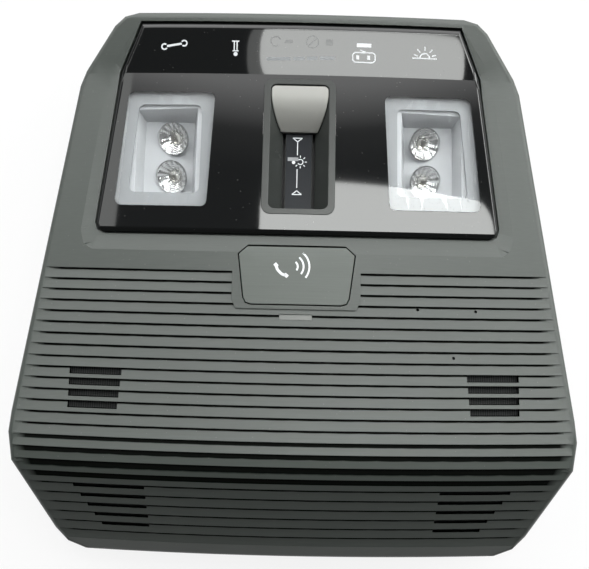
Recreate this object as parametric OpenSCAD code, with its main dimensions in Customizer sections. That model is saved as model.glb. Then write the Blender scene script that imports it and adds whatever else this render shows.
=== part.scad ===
// Overhead car console lamp: ribbed housing, gloss panel with two lamp windows,
// a slide switch in a recess and a press button. Units are mm, Z points out of the roof
// lining towards the visible face, Y points to the icon strip, the back rests on Z = 0.
// Places on the face are shares of the half length or half width, so the controls keep
// their order and their gaps when the housing is made larger or smaller.

/* [Housing] */
// overall length over the ribbed housing
length = 196; // [170:1:225]
// overall width at the widest place, by the bend
width = 194; // [180:1:225]
// height of the flat icon strip face above the back
strip_z = 28.2; // [26:0.1:34]
// share of the length that the flat icon strip takes, from the far edge to the crease
strip_share = 0.1128; // [0.1:0.001:0.13]
// rise angle of the long face towards the bend
face_tilt = 12.5; // [9:0.1:14]
// fall angle of the front slope
slope_tilt = 38; // [32:0.5:42]
// distance of the bend from the near edge
bend_back = 47; // [40:0.5:54]
// radius of the side to side crown
crown_r = 600; // [450:10:900]
// wall of the moulded housing
wall = 2.6; // [2:0.1:3.2]
// roll radius of the outer edge
edge_r = 2.2; // [1:0.1:2.4]
// height of the rim plane above the back
rim_z = 16; // [12:0.5:18]

/* [Ribs] */
// depth of each shingle step
rib_depth = 0.8; // [0.3:0.05:1.2]
// distance of the rib ends from the outline
rib_inset = 1.7; // [1:0.1:4]
// pitch of the first shingle of a run
rib_pitch = 3.56; // [3.3:0.02:3.8]
// pitch on the front slope
slope_pitch = 4.2; // [3.9:0.05:4.5]
// place of the first step as a share of the half length
rib_share = 0.0622; // [0.05:0.001:0.075]

/* [Slots and holes] */
// outer end of the upper slots as a share of the half width
slot_out_share = 0.7897; // [0.75:0.001:0.82]
// inner end of the upper slots as a share of the half width
slot_in_share = 0.6041; // [0.56:0.001:0.68]
// width of the upper slots
slot_w = 2.4; // [1.4:0.1:2.8]
// inner end of the lower slots as a share of the half width
vent_share = 0.5196; // [0.48:0.001:0.6]
// width of the lower slots
vent_w = 1.7; // [1:0.1:2.4]
// diameter of the microphone holes
pin_d = 1.0; // [0.8:0.1:1.6]

/* [Gloss panel] */
// half width of the panel at its near edge as a share of the half width
panel_near_w = 0.7278; // [0.7:0.001:0.75]
// half width of the panel at the crease as a share of the half width
panel_crease_w = 0.666; // [0.64:0.001:0.69]
// half width of the panel at its far edge as a share of the half width
panel_far_w = 0.5897; // [0.56:0.001:0.61]
// place of the near edge of the panel as a share of the half length
panel_share = 0.1898; // [0.18:0.001:0.2]
// how far the panel stands proud of the housing
panel_up = 1.0; // [0.5:0.1:1.6]
// thickness of the panel
panel_t = 3.3; // [2.8:0.1:4]
// roll radius of the panel edge
panel_r = 2.6; // [1.2:0.1:2.7]
// clearance between panel and housing
panel_gap = 0.4; // [0.2:0.05:0.8]
// depth of the dish round the panel
dish_drop = 1.2; // [0.6:0.1:1.6]
// width of the dish at the sides
dish_side = 5.2; // [3:0.1:6]
// width of the dish at the near edge
dish_front = 5.9; // [4:0.1:6.4]

/* [Lamp windows] */
// far edge of the windows as a share of the half length
lens_far_share = 0.7041; // [0.68:0.001:0.72]
// near edge of the windows as a share of the half length
lens_near_share = 0.2878; // [0.27:0.001:0.3]
// inner edge of a window at its far end as a share of the half width
lens_in_far = 0.3093; // [0.29:0.001:0.34]
// inner edge of a window at its near end as a share of the half width
lens_in_near = 0.3289; // [0.3:0.001:0.35]
// outer edge of a window at its far end as a share of the half width
lens_out_far = 0.6278; // [0.6:0.001:0.633]
// outer edge of a window at its near end as a share of the half width
lens_out_near = 0.6629; // [0.63:0.001:0.668]
// corner radius of the windows
lens_r = 2.2; // [1:0.1:3]
// thickness of the clear window
lens_t = 2.2; // [1.6:0.1:2.6]
// width of the frosted border behind the window
frame_w = 4.6; // [3:0.1:6]
// depth of the lamp pocket below the face
pocket_d = 13; // [11:0.2:14]
// rim radius of a lamp optic
optic_r = 6.1; // [5:0.1:6.4]
// tilt of the lamp optics
optic_tilt = 24; // [0:1:26]

/* [Slide switch] */
// half width of the switch recess
rec_hw = 11.3; // [11:0.1:11.8]
// far end of the recess as a share of the half length
rec_far_share = 0.7449; // [0.73:0.001:0.747]
// near end of the recess as a share of the half length
rec_near_share = 0.2755; // [0.26:0.001:0.29]
// depth of the recess
rec_d = 6.6; // [5:0.1:7]
// half width of the recess floor
floor_hw = 5.9; // [5:0.1:6.2]
// length of the slide knob
knob_len = 15.6; // [13:0.1:17]
// clearance round the slide knob
knob_gap = 0.35; // [0.25:0.05:0.6]
// travel of the slide knob
knob_travel = 28.5; // [18:0.5:28.5]

/* [Press button] */
// half width of the button
button_hw = 19.9; // [18:0.1:20.4]
// far edge of the button as a share of the half length
button_far_share = 0.1531; // [0.138:0.001:0.158]
// near edge of the button as a share of the half length
button_near_share = -0.049; // [-0.061:0.001:-0.036]
// clearance round the button
button_gap = 0.4; // [0.3:0.05:0.7]
// travel of the button
button_travel = 1.5; // [0.8:0.1:1.8]

/* [Inside] */
// depth of the circuit board below the face
board_d = 18; // [17:0.2:19]
// thickness of the circuit boards
board_t = 1.6; // [1:0.1:2]
// wall of the back tub
tub_wall = 2.2; // [1.6:0.1:3]
// distance of the tub from the outline
tub_inset = 12; // [11:0.5:15]
// diameter of the housing screw shank
screw_d = 3.0; // [2.5:0.1:3.5]

/* [Hidden] */

hx = width / 2;
hy = length / 2;
crease_y = hy - strip_share * length;
rib_start = rib_share * hy;
slot_out = slot_out_share * hx;
slot_in = slot_in_share * hx;
vent_in = vent_share * hx;
panel_hw = panel_near_w * hx;
panel_cw = panel_crease_w * hx;
panel_fw = panel_far_w * hx;
panel_near = panel_share * hy;
lens_far = lens_far_share * hy;
lens_near = lens_near_share * hy;
lens_in_f = lens_in_far * hx;
lens_in_n = lens_in_near * hx;
lens_out_f = lens_out_far * hx;
lens_out_n = lens_out_near * hx;
rec_far = rec_far_share * hy;
rec_near = rec_near_share * hy;
button_far = button_far_share * hy;
button_near = button_near_share * hy;
bend_y = -hy + bend_back;
bend_step = 3.5;
axis_z = 45 - crown_r;
swing = 11.5;

// centre section of the visible face as [y, z], from the near edge to the far edge
z_bend = strip_z + (crease_y - bend_y) * tan(face_tilt);
function bend_angle(j) = face_tilt - (slope_tilt + face_tilt) * (j + 0.5) / 4;
z1 = z_bend + bend_step * tan(bend_angle(0));
z2 = z1 + bend_step * tan(bend_angle(1));
z3 = z2 + bend_step * tan(bend_angle(2));
z4 = z3 + bend_step * tan(bend_angle(3));
bend_end = bend_y - 4 * bend_step;
z_near = z4 - (bend_end + hy) * tan(slope_tilt);
knots = [[-hy - 4, z_near - 4 * tan(slope_tilt)], [bend_end, z4], [bend_y - 3 * bend_step, z3],
  [bend_y - 2 * bend_step, z2], [bend_y - bend_step, z1], [bend_y, z_bend],
  [crease_y, strip_z], [hy + 4, strip_z]];
function skin_z(y) = lookup(y, knots);
function crown_z(x, y, d = 0) = axis_z + sqrt(pow(skin_z(y) + d - axis_z, 2) - x * x);
function line(a, b, d) = concat([[a, skin_z(a) + d]],
  [for (k = knots) if (k[0] > a + 0.01 && k[0] < b - 0.01) [k[0], k[1] + d]],
  [[b, skin_z(b) + d]]);
function rev(p) = [for (i = [len(p) - 1:-1:0]) p[i]];
function arc(cy, cz, r, a0, a1, n) = [for (i = [0:n]) let (a = a0 + (a1 - a0) * i / n)
  [cy + r * cos(a), cz + r * sin(a)]];

// turns a [y, z] section about the crown axis
module turned(pts) {
  translate([0, 0, axis_z]) rotate([-90, -90, 0]) rotate([0, 0, -swing])
    rotate_extrude(angle = 2 * swing, $fn = 180)
      polygon([for (p = pts) [p[1] - axis_z, p[0]]]);
}
// layer that follows the face between two offsets
module layer(a, b, d0, d1) turned(concat(line(a, b, d0), rev(line(a, b, d1))));
// outline of the housing in plan, one half from far to near, then mirrored
half = [[hx * 0.598, hy], [hx * 0.655, hy - 1.4], [hx * 0.694, hy - 4.8], [hx * 0.799, hy - 20.8],
  [hx * 0.8206, hy - 26.5], [hx * 0.9938, bend_y + 8], [hx, bend_y + 1], [hx * 0.9897, bend_y - 9],
  [hx * 0.8814, -hy + 9], [hx * 0.8454, -hy + 3], [hx * 0.7835, -hy]];
function both(h) = concat(rev(h), [for (p = h) [-p[0], p[1]]]);
function norm2(v) = v / norm(v);
function left_of(a, b) = let (d = norm2(b - a)) [-d[1], d[0]];
function inset(p, d) = [for (i = [0:len(p) - 1])
  let (a = p[(i + len(p) - 1) % len(p)], b = p[i], c = p[(i + 1) % len(p)],
       m = left_of(a, b), n = left_of(b, c)) b + d * (m + n) / (1 + m * n)];
outline = both(half);
module plan(d, z0, z1) translate([0, 0, z0]) linear_extrude(z1 - z0) polygon(inset(outline, d));
// frame that runs from a to b, with its Y axis to the left and its Z axis upwards
module along(a, b) {
  u = (b - a) / norm(b - a);
  w = cross([0, 0, 1], u) / norm(cross([0, 0, 1], u));
  n = cross(u, w);
  multmatrix([[u[0], w[0], n[0], a[0]], [u[1], w[1], n[1], a[1]], [u[2], w[2], n[2], a[2]], [0, 0, 0, 1]])
    children();
}
function on_skin(p, d = 0) = [p[0], p[1], crown_z(p[0], p[1], d)];
// cutter that rolls the edge from a to b, the body lying to the left
module roll(a, b, r, c) along(a, b) rotate([c, 0, 0]) translate([0, -r * sin(c), 0]) difference() {
  translate([-3, -4, -r]) cube([norm(b - a) + 6, r + 4, r + 4]);
  translate([-4, r, -r]) rotate([0, 90, 0]) cylinder(r = r, h = norm(b - a) + 8, $fn = 60);
}
function lean(p) = asin(abs(p[0]) / crown_r);
// body under a plane that falls to the left of the line from a to b
module under(a, b, c, deep, grow = 3) along(a, b) rotate([-c, 0, 0])
  translate([-grow, -14, -deep]) cube([norm(b - a) + 2 * grow, 34, deep]);
// flat frame of the long face: Z is its normal, the origin sits on the centre line
module on_face(x, y, d = 0) translate([x, y, skin_z(y)]) rotate([-face_tilt, 0, 0])
  translate([0, 0, d]) children();
module posts(list) for (p = list) translate([p[0], p[1], 0]) children();
module corner_box(x, y, z, r) linear_extrude(z) rounded(x, y, r);
module rounded(x, y, r) polygon(concat(
  arc(x / 2 - r, y / 2 - r, r, 0, 90, 6), arc(-x / 2 + r, y / 2 - r, r, 90, 180, 6),
  arc(-x / 2 + r, -y / 2 + r, r, 180, 270, 6), arc(x / 2 - r, -y / 2 + r, r, 270, 360, 6)));

// steps of the shingles, counted from the far side
function rib_y(i) = i <= 8 ? rib_start - rib_pitch * i - 0.022 * i * i
  : i <= 16 ? rib_y(8) - rib_pitch * (i - 8) - 0.022 * (i - 8) * (i - 8) - 0.05 * (i - 8)
  : i <= 19 ? rib_y(16) - 4.4 * (i - 16) : rib_y(19) - slope_pitch * (i - 19);
ribs = len([for (i = [0:60]) if (rib_y(i) > -hy + 7) i]);
slot_rib = len([for (i = [0:60]) if (rib_y(i) > bend_y) i]) - 7;
vent_rib = ribs - 6;
function depth_at(y) = y < bend_end ? rib_depth / cos(slope_tilt) : rib_depth;
rib_end = max(rib_y(ribs), -hy + 3.2);

module rib_cutter() {
  saw = [for (i = [0:ribs - 1]) for (k = [0, 1]) k == 0
    ? [rib_y(i), skin_z(rib_y(i)) - depth_at(rib_y(i))]
    : [i == ribs - 1 ? rib_end : rib_y(i + 1) + 0.01,
       skin_z(i == ribs - 1 ? rib_end : rib_y(i + 1)) - 0.05]];
  top = [[rib_end, skin_z(rib_end) + 4], [bend_y - 6, z2 + 4], [rib_y(0), skin_z(rib_y(0)) + 4]];
  edge = inset(half_right(), rib_inset);
  difference() {
    turned(concat(saw, top));
    for (s = [-1, 1]) fade_side(s);
    button_plateau();
  }
}
function half_right() = outline;
rin = inset(outline, rib_inset);
// right side corners of the rib field, near to far
side_pts = [for (i = [1:6]) rin[i]];
module fade_side(s) for (i = [0:4]) {
  a = on_skin(side_pts[i]);
  b = on_skin(side_pts[i + 1]);
  mirror([s < 0 ? 1 : 0, 0, 0]) under(a, b, (i == 0 ? 10 : 12) - lean(a), 12, i == 0 ? 6 : 0.4);
}
module button_plateau() translate([0, 0, 20]) linear_extrude(60) polygon(both(
  [[button_hw + 2.1, button_far + 5], [button_hw + 2.1, button_near + 1.4], [button_hw + 0.7, button_near - 1.7]]));

// plan of the gloss panel and of its dish
panel_far = hy - 3.8;
panel_half = [[panel_fw, panel_far], [panel_cw, crease_y + 0.4], [panel_hw, panel_near + 3.6],
  [panel_hw - 0.9, panel_near + 1.2], [panel_hw - 3.4, panel_near]];
panel_plan = both(panel_half);
dish_half = [[panel_fw + 1.6, panel_far - 1.4], [panel_cw + 2.6, crease_y + 4.2],
  [panel_cw + dish_side, crease_y - 6.2], [panel_hw + dish_side, panel_near + 0.6],
  [panel_hw + dish_side - 1.3, panel_near - dish_front + 2],
  [panel_hw + dish_side - 4.4, panel_near - dish_front]];
dish_plan = both(dish_half);
seat_plan = both([[panel_fw - 5, panel_far - 4.4], [panel_cw - 4.8, crease_y + 0.9], [panel_hw - 4.8, panel_near + 7.4],
  [panel_hw - 7.6, panel_near + 4.6]]);
module panel_prism(d, z0 = 0, z1 = 80) translate([0, 0, z0]) linear_extrude(z1 - z0)
  polygon(inset(panel_plan, d));
module dish_cutter() difference() {
  y0 = panel_near - dish_front;
  intersection() {
    translate([0, 0, 10]) linear_extrude(60) polygon(dish_plan);
    turned(concat([[y0 - 0.02, skin_z(y0) + 5], [y0 - 0.02, skin_z(y0)], [panel_near, skin_z(panel_near) - dish_drop]],
      [[crease_y, strip_z - dish_drop - 0.25], [panel_far, strip_z - dish_drop - 0.25],
       [panel_far, strip_z + 5], [crease_y, strip_z + 5]]));
  }
  for (s = [0, 1]) mirror([s, 0, 0]) {
    for (i = [0:3]) {
      a = on_skin(dish_half[4 - i]);
      b = on_skin(dish_half[3 - i]);
      under(a, b, [13, 13, 13, 8][i] - lean(a), 12, i == 1 ? 2 : 0.4);
    }
  }
}

module bezel() color("#4d524f") difference() {
  union() {
    difference() {
      intersection() {
        plan(0, rim_z, 80);
        turned(concat([[-hy - 1, rim_z - 14]],
          arc(-hy + 3, skin_z(-hy + 3) - 3 / cos(slope_tilt), 3, 180, 90 + slope_tilt, 5),
          line(-hy + 3 - 3 * sin(slope_tilt) + 0.02, hy - 2.4, 0),
          arc(hy - 2.4, strip_z - 2.4, 2.4, 84, 0, 5), [[hy, rim_z - 14]]));
      }
      // hollow under the skin, deeper walls round the panel
      intersection() {
        plan(wall, rim_z - 1, 80);
        turned(concat([[-hy + wall, rim_z - 14]],
          [[-hy + wall, skin_z(-hy + wall) - wall / cos(slope_tilt)],
           [bend_end, z4 - wall / cos(slope_tilt)]],
          line(bend_end + 2, button_far - 4, -wall),
          line(button_far - 3.9, hy - wall, -wall - 2.4), [[hy - wall, rim_z - 14]]));
      }
      for (i = [0:len(outline) - 1]) {
        a = outline[i];
        b = outline[(i + 1) % len(outline)];
        if (abs(a[1] - b[1]) > 0.3) roll(on_skin(a), on_skin(b), edge_r, lean((a + b) / 2));
      }
      rib_cutter();
      dish_cutter();
      // seat of the panel and the way through it
      intersection() { panel_prism(-panel_gap); layer(panel_near - 3, panel_far + 3, panel_up - panel_t, 6); }
      translate([0, 0, 5]) linear_extrude(75) polygon(seat_plan);
    }
    intersection() {
      plan(wall - 0.2, rim_z, 80);
      layer(-hy + 2, hy - 2, -40, -wall + 0.3);
      union() {
        screw_bosses();
        board_bosses();
        cross_ribs();
        button_walls();
      }
    }
  }
  // button, light pipe, microphone holes and slots
  on_face(0, 0, -30) linear_extrude(60) polygon(inset(button_plan, -button_gap));
  on_face(0, pipe_y, -30) translate([-pipe_w / 2, -pipe_h / 2, 0]) cube([pipe_w, pipe_h, 60]);
  for (p = mic_at) on_face(p[0], p[1], -30) cylinder(d = pin_d, h = 60, $fn = 24);
  for (s = [0, 1]) mirror([s, 0, 0]) {
    for (j = [0:3]) translate([slot_in + 0.3 * j, rib_y(slot_rib + j) - 0.12 - slot_w, 30])
      cube([slot_out - slot_in - 0.3 * j, slot_w, 40]);
    for (j = [0:4]) translate([vent_in, rib_y(vent_rib + j) - 0.12 - vent_w, 16])
      cube([vent_out(j) - vent_in, vent_w, 50]);
  }
  posts(boss_at) translate([0, 0, rim_z + 1]) cylinder(d = screw_d - 0.5, h = 5.9, $fn = 32);
  for (p = board_boss_at) on_face(p[0], p[1], -board_d - 0.1) cylinder(d = 1.9, h = 9, $fn = 24);
}
function vent_out(j) = hx * (0.7753 - 0.0196 * j);
function side_x(y) = lookup(y, [for (p = half) [p[1], p[0]]]);
boss_at = [for (p = [[hy - 9.8, 10.6], [hy * 0.04, 9.6], [-hy + 20, 9.6]]) for (sx = [1, -1])
  [sx * (side_x(p[0]) - p[1]), p[0]]];
module screw_bosses() posts(boss_at) translate([0, 0, rim_z + 3.5]) cylinder(r = 3.4, h = 60, $fn = 40);
board_boss_at = [for (sx = [-1, 1]) for (y = [hy * 0.0612, -hy * 0.3878]) [sx * hx * 0.532, y]];
module board_bosses() for (p = board_boss_at) on_face(p[0], p[1], -board_d) cylinder(r = 3, h = 30, $fn = 40);
module cross_ribs() for (x = [-22, 22]) translate([x - 0.8, bend_end - 14, 34]) cube([1.6, 22, 30]);
// thin guide wall round the button opening
module button_walls() on_face(0, 0, -8.5) difference() {
  linear_extrude(8.5) polygon(inset(button_plan, -button_gap - 1.5));
  translate([0, 0, -1]) linear_extrude(12) polygon(inset(button_plan, -button_gap));
}

// press button in the flat frame of the face
function fy(y) = y / cos(face_tilt);
button_half = [[button_hw - 3.2, fy(button_far)], [button_hw, fy(button_far) - 3],
  [button_hw - 1.9, fy(button_near) + 2.4], [button_hw - 2.7, fy(button_near) + 0.6],
  [button_hw - 4.5, fy(button_near)]];
button_plan = both(button_half);
button_c = (button_far + button_near) / 2;
module sos_button() color("#3b3f3d") difference() {
  union() {
    intersection() {
      on_face(0, 0, -8) linear_extrude(20) polygon(button_plan);
      layer(button_near - 7, button_far + 9, -3.2, 0.15);
    }
    intersection() {
      on_face(0, 0, -7) difference() {
        linear_extrude(9) polygon(inset(button_plan, 0.0));
        translate([0, 0, -1]) linear_extrude(12) polygon(inset(button_plan, 1.3));
      }
      layer(button_near - 7, button_far + 9, -20, -2);
    }
    on_face(0, button_c, -11.3) cylinder(r = 2.2, h = 10, $fn = 40);
    for (x = [-13, 13]) on_face(x, button_c, -8) translate([-1, -4, 0]) cube([2, 8, 6]);
  }
  translate([0, 0, 0.16]) dish_cutter();
}
module button_switch() color("#b9bcc0") on_face(0, button_c, -board_d) {
  translate([-3, -3, 0]) cube([6, 6, 3.1]);
}
module button_dome() color("#26282a") on_face(0, button_c, -board_d) difference() {
  union() {
    cylinder(r = 8, h = 1, $fn = 48);
    cylinder(r1 = 7, r2 = 3.4, h = 6.6 - 0.0, $fn = 48);
  }
  translate([0, 0, -1]) cylinder(r1 = 6.4, r2 = 4.6, h = 5.2, $fn = 48);
}

// light pipe under the button
pipe_y = button_near - 4.3;
pipe_w = 11.2;
pipe_h = 1.9;
module light_pipe() color("#dfe6ea") intersection() {
  union() {
    on_face(0, pipe_y, -14) translate([-pipe_w / 2 + 0.05, -pipe_h / 2 + 0.05, 0])
      cube([pipe_w - 0.1, pipe_h - 0.1, 16]);
    on_face(0, pipe_y, -wall - 2) translate([-pipe_w / 2 - 1.5, -pipe_h / 2 - 0.8, 0])
      cube([pipe_w + 3, pipe_h + 1.2, 1.9]);
  }
  layer(pipe_y - 7, pipe_y + 9, -40, -rib_depth * 0.6);
}
module pipe_chip() color("#f2f0da") on_face(0, pipe_y, -board_d) translate([-1.7, -1.4, 0]) cube([3.4, 2.8, 1.6]);

// gloss panel with its crease, rolled edges, openings and snap legs
module gloss_panel() color("#0c0d0f") difference() {
  union() {
    difference() {
      intersection() {
        panel_prism(0);
        turned(concat(rev(line(panel_near, panel_far, panel_up - panel_t)),
          arc(panel_near + panel_r, skin_z(panel_near + panel_r) + panel_up - panel_r, panel_r, 180, 90 + face_tilt, 6),
          [[crease_y, strip_z + panel_up]],
          arc(panel_far - panel_r, strip_z + panel_up - panel_r, panel_r, 90, 0, 6)));
      }
      for (s = [0, 1]) mirror([s, 0, 0]) for (i = [0:3])
        roll(on_skin(panel_half[4 - i], panel_up), on_skin(panel_half[3 - i], panel_up), panel_r, lean(panel_half[2]));
    }
    // snap legs through the housing seat
    for (p = leg_at) intersection() {
      translate([p[0] - 1, p[1] - 4, 10]) cube([2, 8, 40]);
      layer(panel_near + 1.4, panel_far - 2, -9, -1);
    }
  }
  for (s = [0, 1]) mirror([s, 0, 0]) translate([0, 0, 10]) linear_extrude(50) polygon(lens_plan);
  bucket_plan_cut(0);
  intersection() {
    bucket_plan_cut(1.5);
    layer(panel_near + 1.4, panel_far - 14, -20, panel_up - 1.6);
  }
}
leg_at = [for (sx = [-1, 1]) for (p = [[18, panel_near + 9.4], [25.5, crease_y - 0.9]]) [sx * p[0], p[1]]];
// polygon with round corners
function arc_at(a, b, c, r, n) = let (u = norm2(a - b), v = norm2(c - b), w = acos(u * v) / 2,
  m = b + norm2(u + v) * r / sin(w), s = b + u * r / tan(w) - m, q = atan2(s[1], s[0]))
  [for (k = [0:n]) let (e = q + (180 - 2 * w) * k / n) m + r * [cos(e), sin(e)]];
function rounded_plan(p, r, n = 4) = [for (i = [0:len(p) - 1])
  each arc_at(p[(i + len(p) - 1) % len(p)], p[i], p[(i + 1) % len(p)], r, n)];
lens_box = [[lens_in_n, lens_near], [lens_out_n, lens_near], [lens_out_f, lens_far], [lens_in_f, lens_far]];
lens_plan = rounded_plan(lens_box, lens_r);
win_plan = rounded_plan([[lens_in_n + frame_w * 0.6, lens_near + frame_w], [lens_out_n - frame_w, lens_near + frame_w],
  [lens_out_f - frame_w * 0.8, lens_far - frame_w], [lens_in_f + frame_w, lens_far - frame_w]], lens_r);
module lens(s) color("#dfe3e6") mirror([s, 0, 0]) difference() {
  intersection() {
    translate([0, 0, 10]) linear_extrude(50) polygon(lens_plan);
    layer(lens_near - 8, lens_far + 4, panel_up - lens_t, panel_up);
  }
}
module lens_left() lens(1);
module lens_right() lens(0);
// frosted border glued behind the clear window
module frost(s) color("#aeb4ba") mirror([s, 0, 0]) difference() {
  intersection() {
    translate([0, 0, 10]) linear_extrude(50) polygon(lens_plan);
    layer(lens_near - 8, lens_far + 4, panel_up - panel_t - 0.3, panel_up - lens_t);
  }
  translate([0, 0, 9]) linear_extrude(60) polygon(win_plan);
}
module frost_left() frost(1);
module frost_right() frost(0);
// lamp pocket: a box with a sloping well, set in the flat frame of the face
lamp_x = (lens_in_n + lens_out_n + lens_in_f + lens_out_f) / 4;
lamp_y = (lens_far + lens_near) / 2;
lamp_w = (lens_out_n - lens_in_n + lens_out_f - lens_in_f) / 4;
lamp_l = (lens_far - lens_near) / 2;
module pocket(s) color("#8e9396") mirror([s, 0, 0]) difference() {
  intersection() {
    translate([0, 0, 5]) linear_extrude(50) polygon(inset(lens_box, 0.6));
    layer(lens_near - 8, lens_far + 4, -40, panel_up - panel_t - 0.3);
    on_face(0, lamp_y, -pocket_d - 1.4) translate([0, -length / 2, 0]) cube([hx, length, 40]);
  }
  on_face(lamp_x, lamp_y, 0) intersection() {
    rotate([90, 0, 0]) translate([0, 0, -30]) linear_extrude(60)
      polygon([[7.2 - lamp_w, -pocket_d], [lamp_w - 6.8, -pocket_d], [lamp_w - 2.6, 4], [3.8 - lamp_w, 4]]);
    rotate([90, 0, 90]) translate([0, 0, -30]) linear_extrude(60)
      polygon([[6.8 - lamp_l, -pocket_d], [lamp_l - 6.6, -pocket_d], [lamp_l - 2.8, 4], [3.2 - lamp_l, 4]]);
  }
  for (y = optic_y) on_face(lamp_x + 0.5, lamp_y + y, -pocket_d - 4) cylinder(r = 4.2, h = 10, $fn = 40);
}
module pocket_left() pocket(1);
module pocket_right() pocket(0);
optic_y = [lamp_l * 0.4216, -lamp_l * 0.2647];
module optic(s, k) color("#d5d8db") mirror([s, 0, 0])
  on_face(lamp_x + 0.5, lamp_y + optic_y[k], -pocket_d - 1) {
    translate([0, 0, -2.2]) cylinder(r = 3.9, h = 3.4, $fn = 48);
    translate([0, 0, 2.5]) rotate([optic_tilt, 0, 0]) difference() {
      translate([0, 0, -1.5]) cylinder(r1 = 4.0, r2 = optic_r, h = 5, $fn = 48);
      translate([0, 0, 1.2]) cylinder(r1 = 2.4, r2 = optic_r - 0.7, h = 2.4, $fn = 48);
    }
  }
module optic_1() optic(1, 0);
module optic_2() optic(1, 1);
module optic_3() optic(0, 0);
module optic_4() optic(0, 1);
module lamp_chips() color("#f1e9b8") for (s = [0, 1]) mirror([s, 0, 0]) for (y = optic_y)
  on_face(lamp_x + 0.5, lamp_y + y, -board_d) translate([-1.75, -1.75, 0]) cube([3.5, 3.5, 1.3]);

// slide switch: bucket with sloping walls, dark symbol plate, knob and carriage
rec_mid = (rec_far + rec_near) / 2;
rec_len = (rec_far - rec_near) / cos(face_tilt);
module bucket_plan_cut(g) on_face(0, rec_mid, -30) translate([0, 0, 0])
  linear_extrude(60) rounded(2 * rec_hw + 2 * 1.5 + 2 * g, rec_len + 2 * 1.2 + 2 * g, 3.2 + g);
module well(g, top) {
  // sloping channel, narrower towards its floor
  k = (rec_hw - 0.9 - floor_hw) / rec_d;
  y0 = -rec_len / 2;
  translate([0, y0 + 0.8, 0]) rotate([90, 0, 180]) linear_extrude(rec_len - 1.6)
    polygon([[-floor_hw + g, -rec_d + 0.0], [floor_hw - g, -rec_d + 0.0],
      [rec_hw - 0.9 - g + k * top, top], [-rec_hw + 0.9 + g - k * top, top]]);
}
module switch_bucket() color("#b4b8bc") on_face(0, rec_mid, panel_up) difference() {
  union() {
    translate([0, 0, -1.6]) linear_extrude(1.6) rounded(2 * rec_hw + 3 - 0.1, rec_len + 2.3, 3.1);
    translate([0, 0, -rec_d - 1.5]) linear_extrude(rec_d) rounded(2 * rec_hw + 1.6, rec_len + 1.2, 2.4);
  }
  intersection() {
    well(0, 3);
    translate([0, 0, -20]) linear_extrude(40) rounded(2 * rec_hw - 1.6, rec_len - 1.6, 2.4);
  }
  // seat of the symbol plate and the two leg slots
  translate([-floor_hw + 1.3, -rec_len / 2 + 2, -rec_d - 0.5]) cube([2 * floor_hw - 2.6, rec_len - 4, 2]);
  for (x = [-1, 1]) translate([x * (floor_hw - 0.6) - 0.55, -rec_len / 2 + 1.2, -rec_d - 4])
    cube([1.1, rec_len - 2.4, 8]);
}
module symbol_plate() color("#15171a") on_face(0, rec_mid, panel_up)
  translate([-floor_hw + 1.35, -rec_len / 2 + 2.1, -rec_d - 0.5]) cube([2 * floor_hw - 2.7, rec_len - 4.2, 0.5]);
knob_y = rec_len / 2 - 1.3;
module slider_knob() color("#b9bcb2") on_face(0, rec_mid, panel_up) {
  difference() {
    intersection() {
      translate([0, knob_y - knob_len, -rec_d + 0.3]) rotate([90, 0, 180]) translate([0, 0, 0]) linear_extrude(knob_len)
        polygon([[-floor_hw + knob_gap, 0], [floor_hw - knob_gap, 0],
          [rec_hw - 0.9 - knob_gap, rec_d - 0.3], [-rec_hw + 0.9 + knob_gap, rec_d - 0.3]]);
      translate([0, 0, -20]) linear_extrude(40) rounded(2 * rec_hw - 1.6 - 2 * knob_gap, rec_len - 1.6 - 2 * knob_gap, 2.1);
      // crowned top that dips to the floor at its near end
      rotate([90, 0, 90]) translate([0, 0, -20]) linear_extrude(40) polygon(concat(
        [[knob_y + 1, -rec_d], [knob_y + 1, -0.4], [knob_y - 2, 0.1]],
        [for (i = [0:8]) let (t = i / 8) [knob_y - 2 - (knob_len - 2) * t, 0.1 - (rec_d - 1.6) * t * t]],
        [[knob_y - knob_len, -rec_d]]));
    }
    // hollow from below
    translate([-3.6, knob_y - knob_len + 3.4, -rec_d - 1]) cube([7.2, knob_len - 5.2, 3.2]);
  }
  for (x = [-1, 1]) translate([x * (floor_hw - 0.6) - 0.35, knob_y - knob_len + 3, -rec_d - 2.7])
    cube([0.7, knob_len - 5, 3.4]);
}
module slider_carriage() color("#e8e6df") on_face(0, rec_mid, panel_up) difference() {
  translate([-floor_hw - 2, knob_y - knob_len + 1.6, -rec_d - 4.3]) cube([2 * floor_hw + 4, knob_len - 2.4, 2.3]);
  for (x = [-1, 1]) translate([x * (floor_hw - 0.6) - 0.37, knob_y - knob_len + 2.98, -rec_d - 2.72])
    cube([0.74, knob_len - 4.96, 3]);
  for (x = [-1, 1]) translate([x * 3, knob_y - knob_len + 6.4, -rec_d - 4.6]) translate([-1, 0, 0]) cube([2, 4, 1.2]);
}
module slider_contact() color("#c9a24a") on_face(0, rec_mid, panel_up) for (x = [-3, 3])
  translate([x, knob_y - knob_len + 6.4, -rec_d - 4.3]) {
    translate([-0.9, 0.1, 0]) cube([1.8, 3.8, 0.9]);
    translate([-0.9, 2, 0]) rotate([0, 90, 0]) cylinder(r = 0.9, h = 1.8, $fn = 32);
  }
module switch_board() color("#1f5b3a") on_face(0, rec_mid, panel_up) {
  translate([-10, -rec_len / 2 - 1, -rec_d - 5.5 - board_t]) cube([20, rec_len + 2, board_t]);
  for (x = [-9, 9]) for (y = [-rec_len / 2, rec_len / 2 - 2])
    translate([x - 1, y, -rec_d - 5.5]) cube([2, 2, 4.0]);
}

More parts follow.
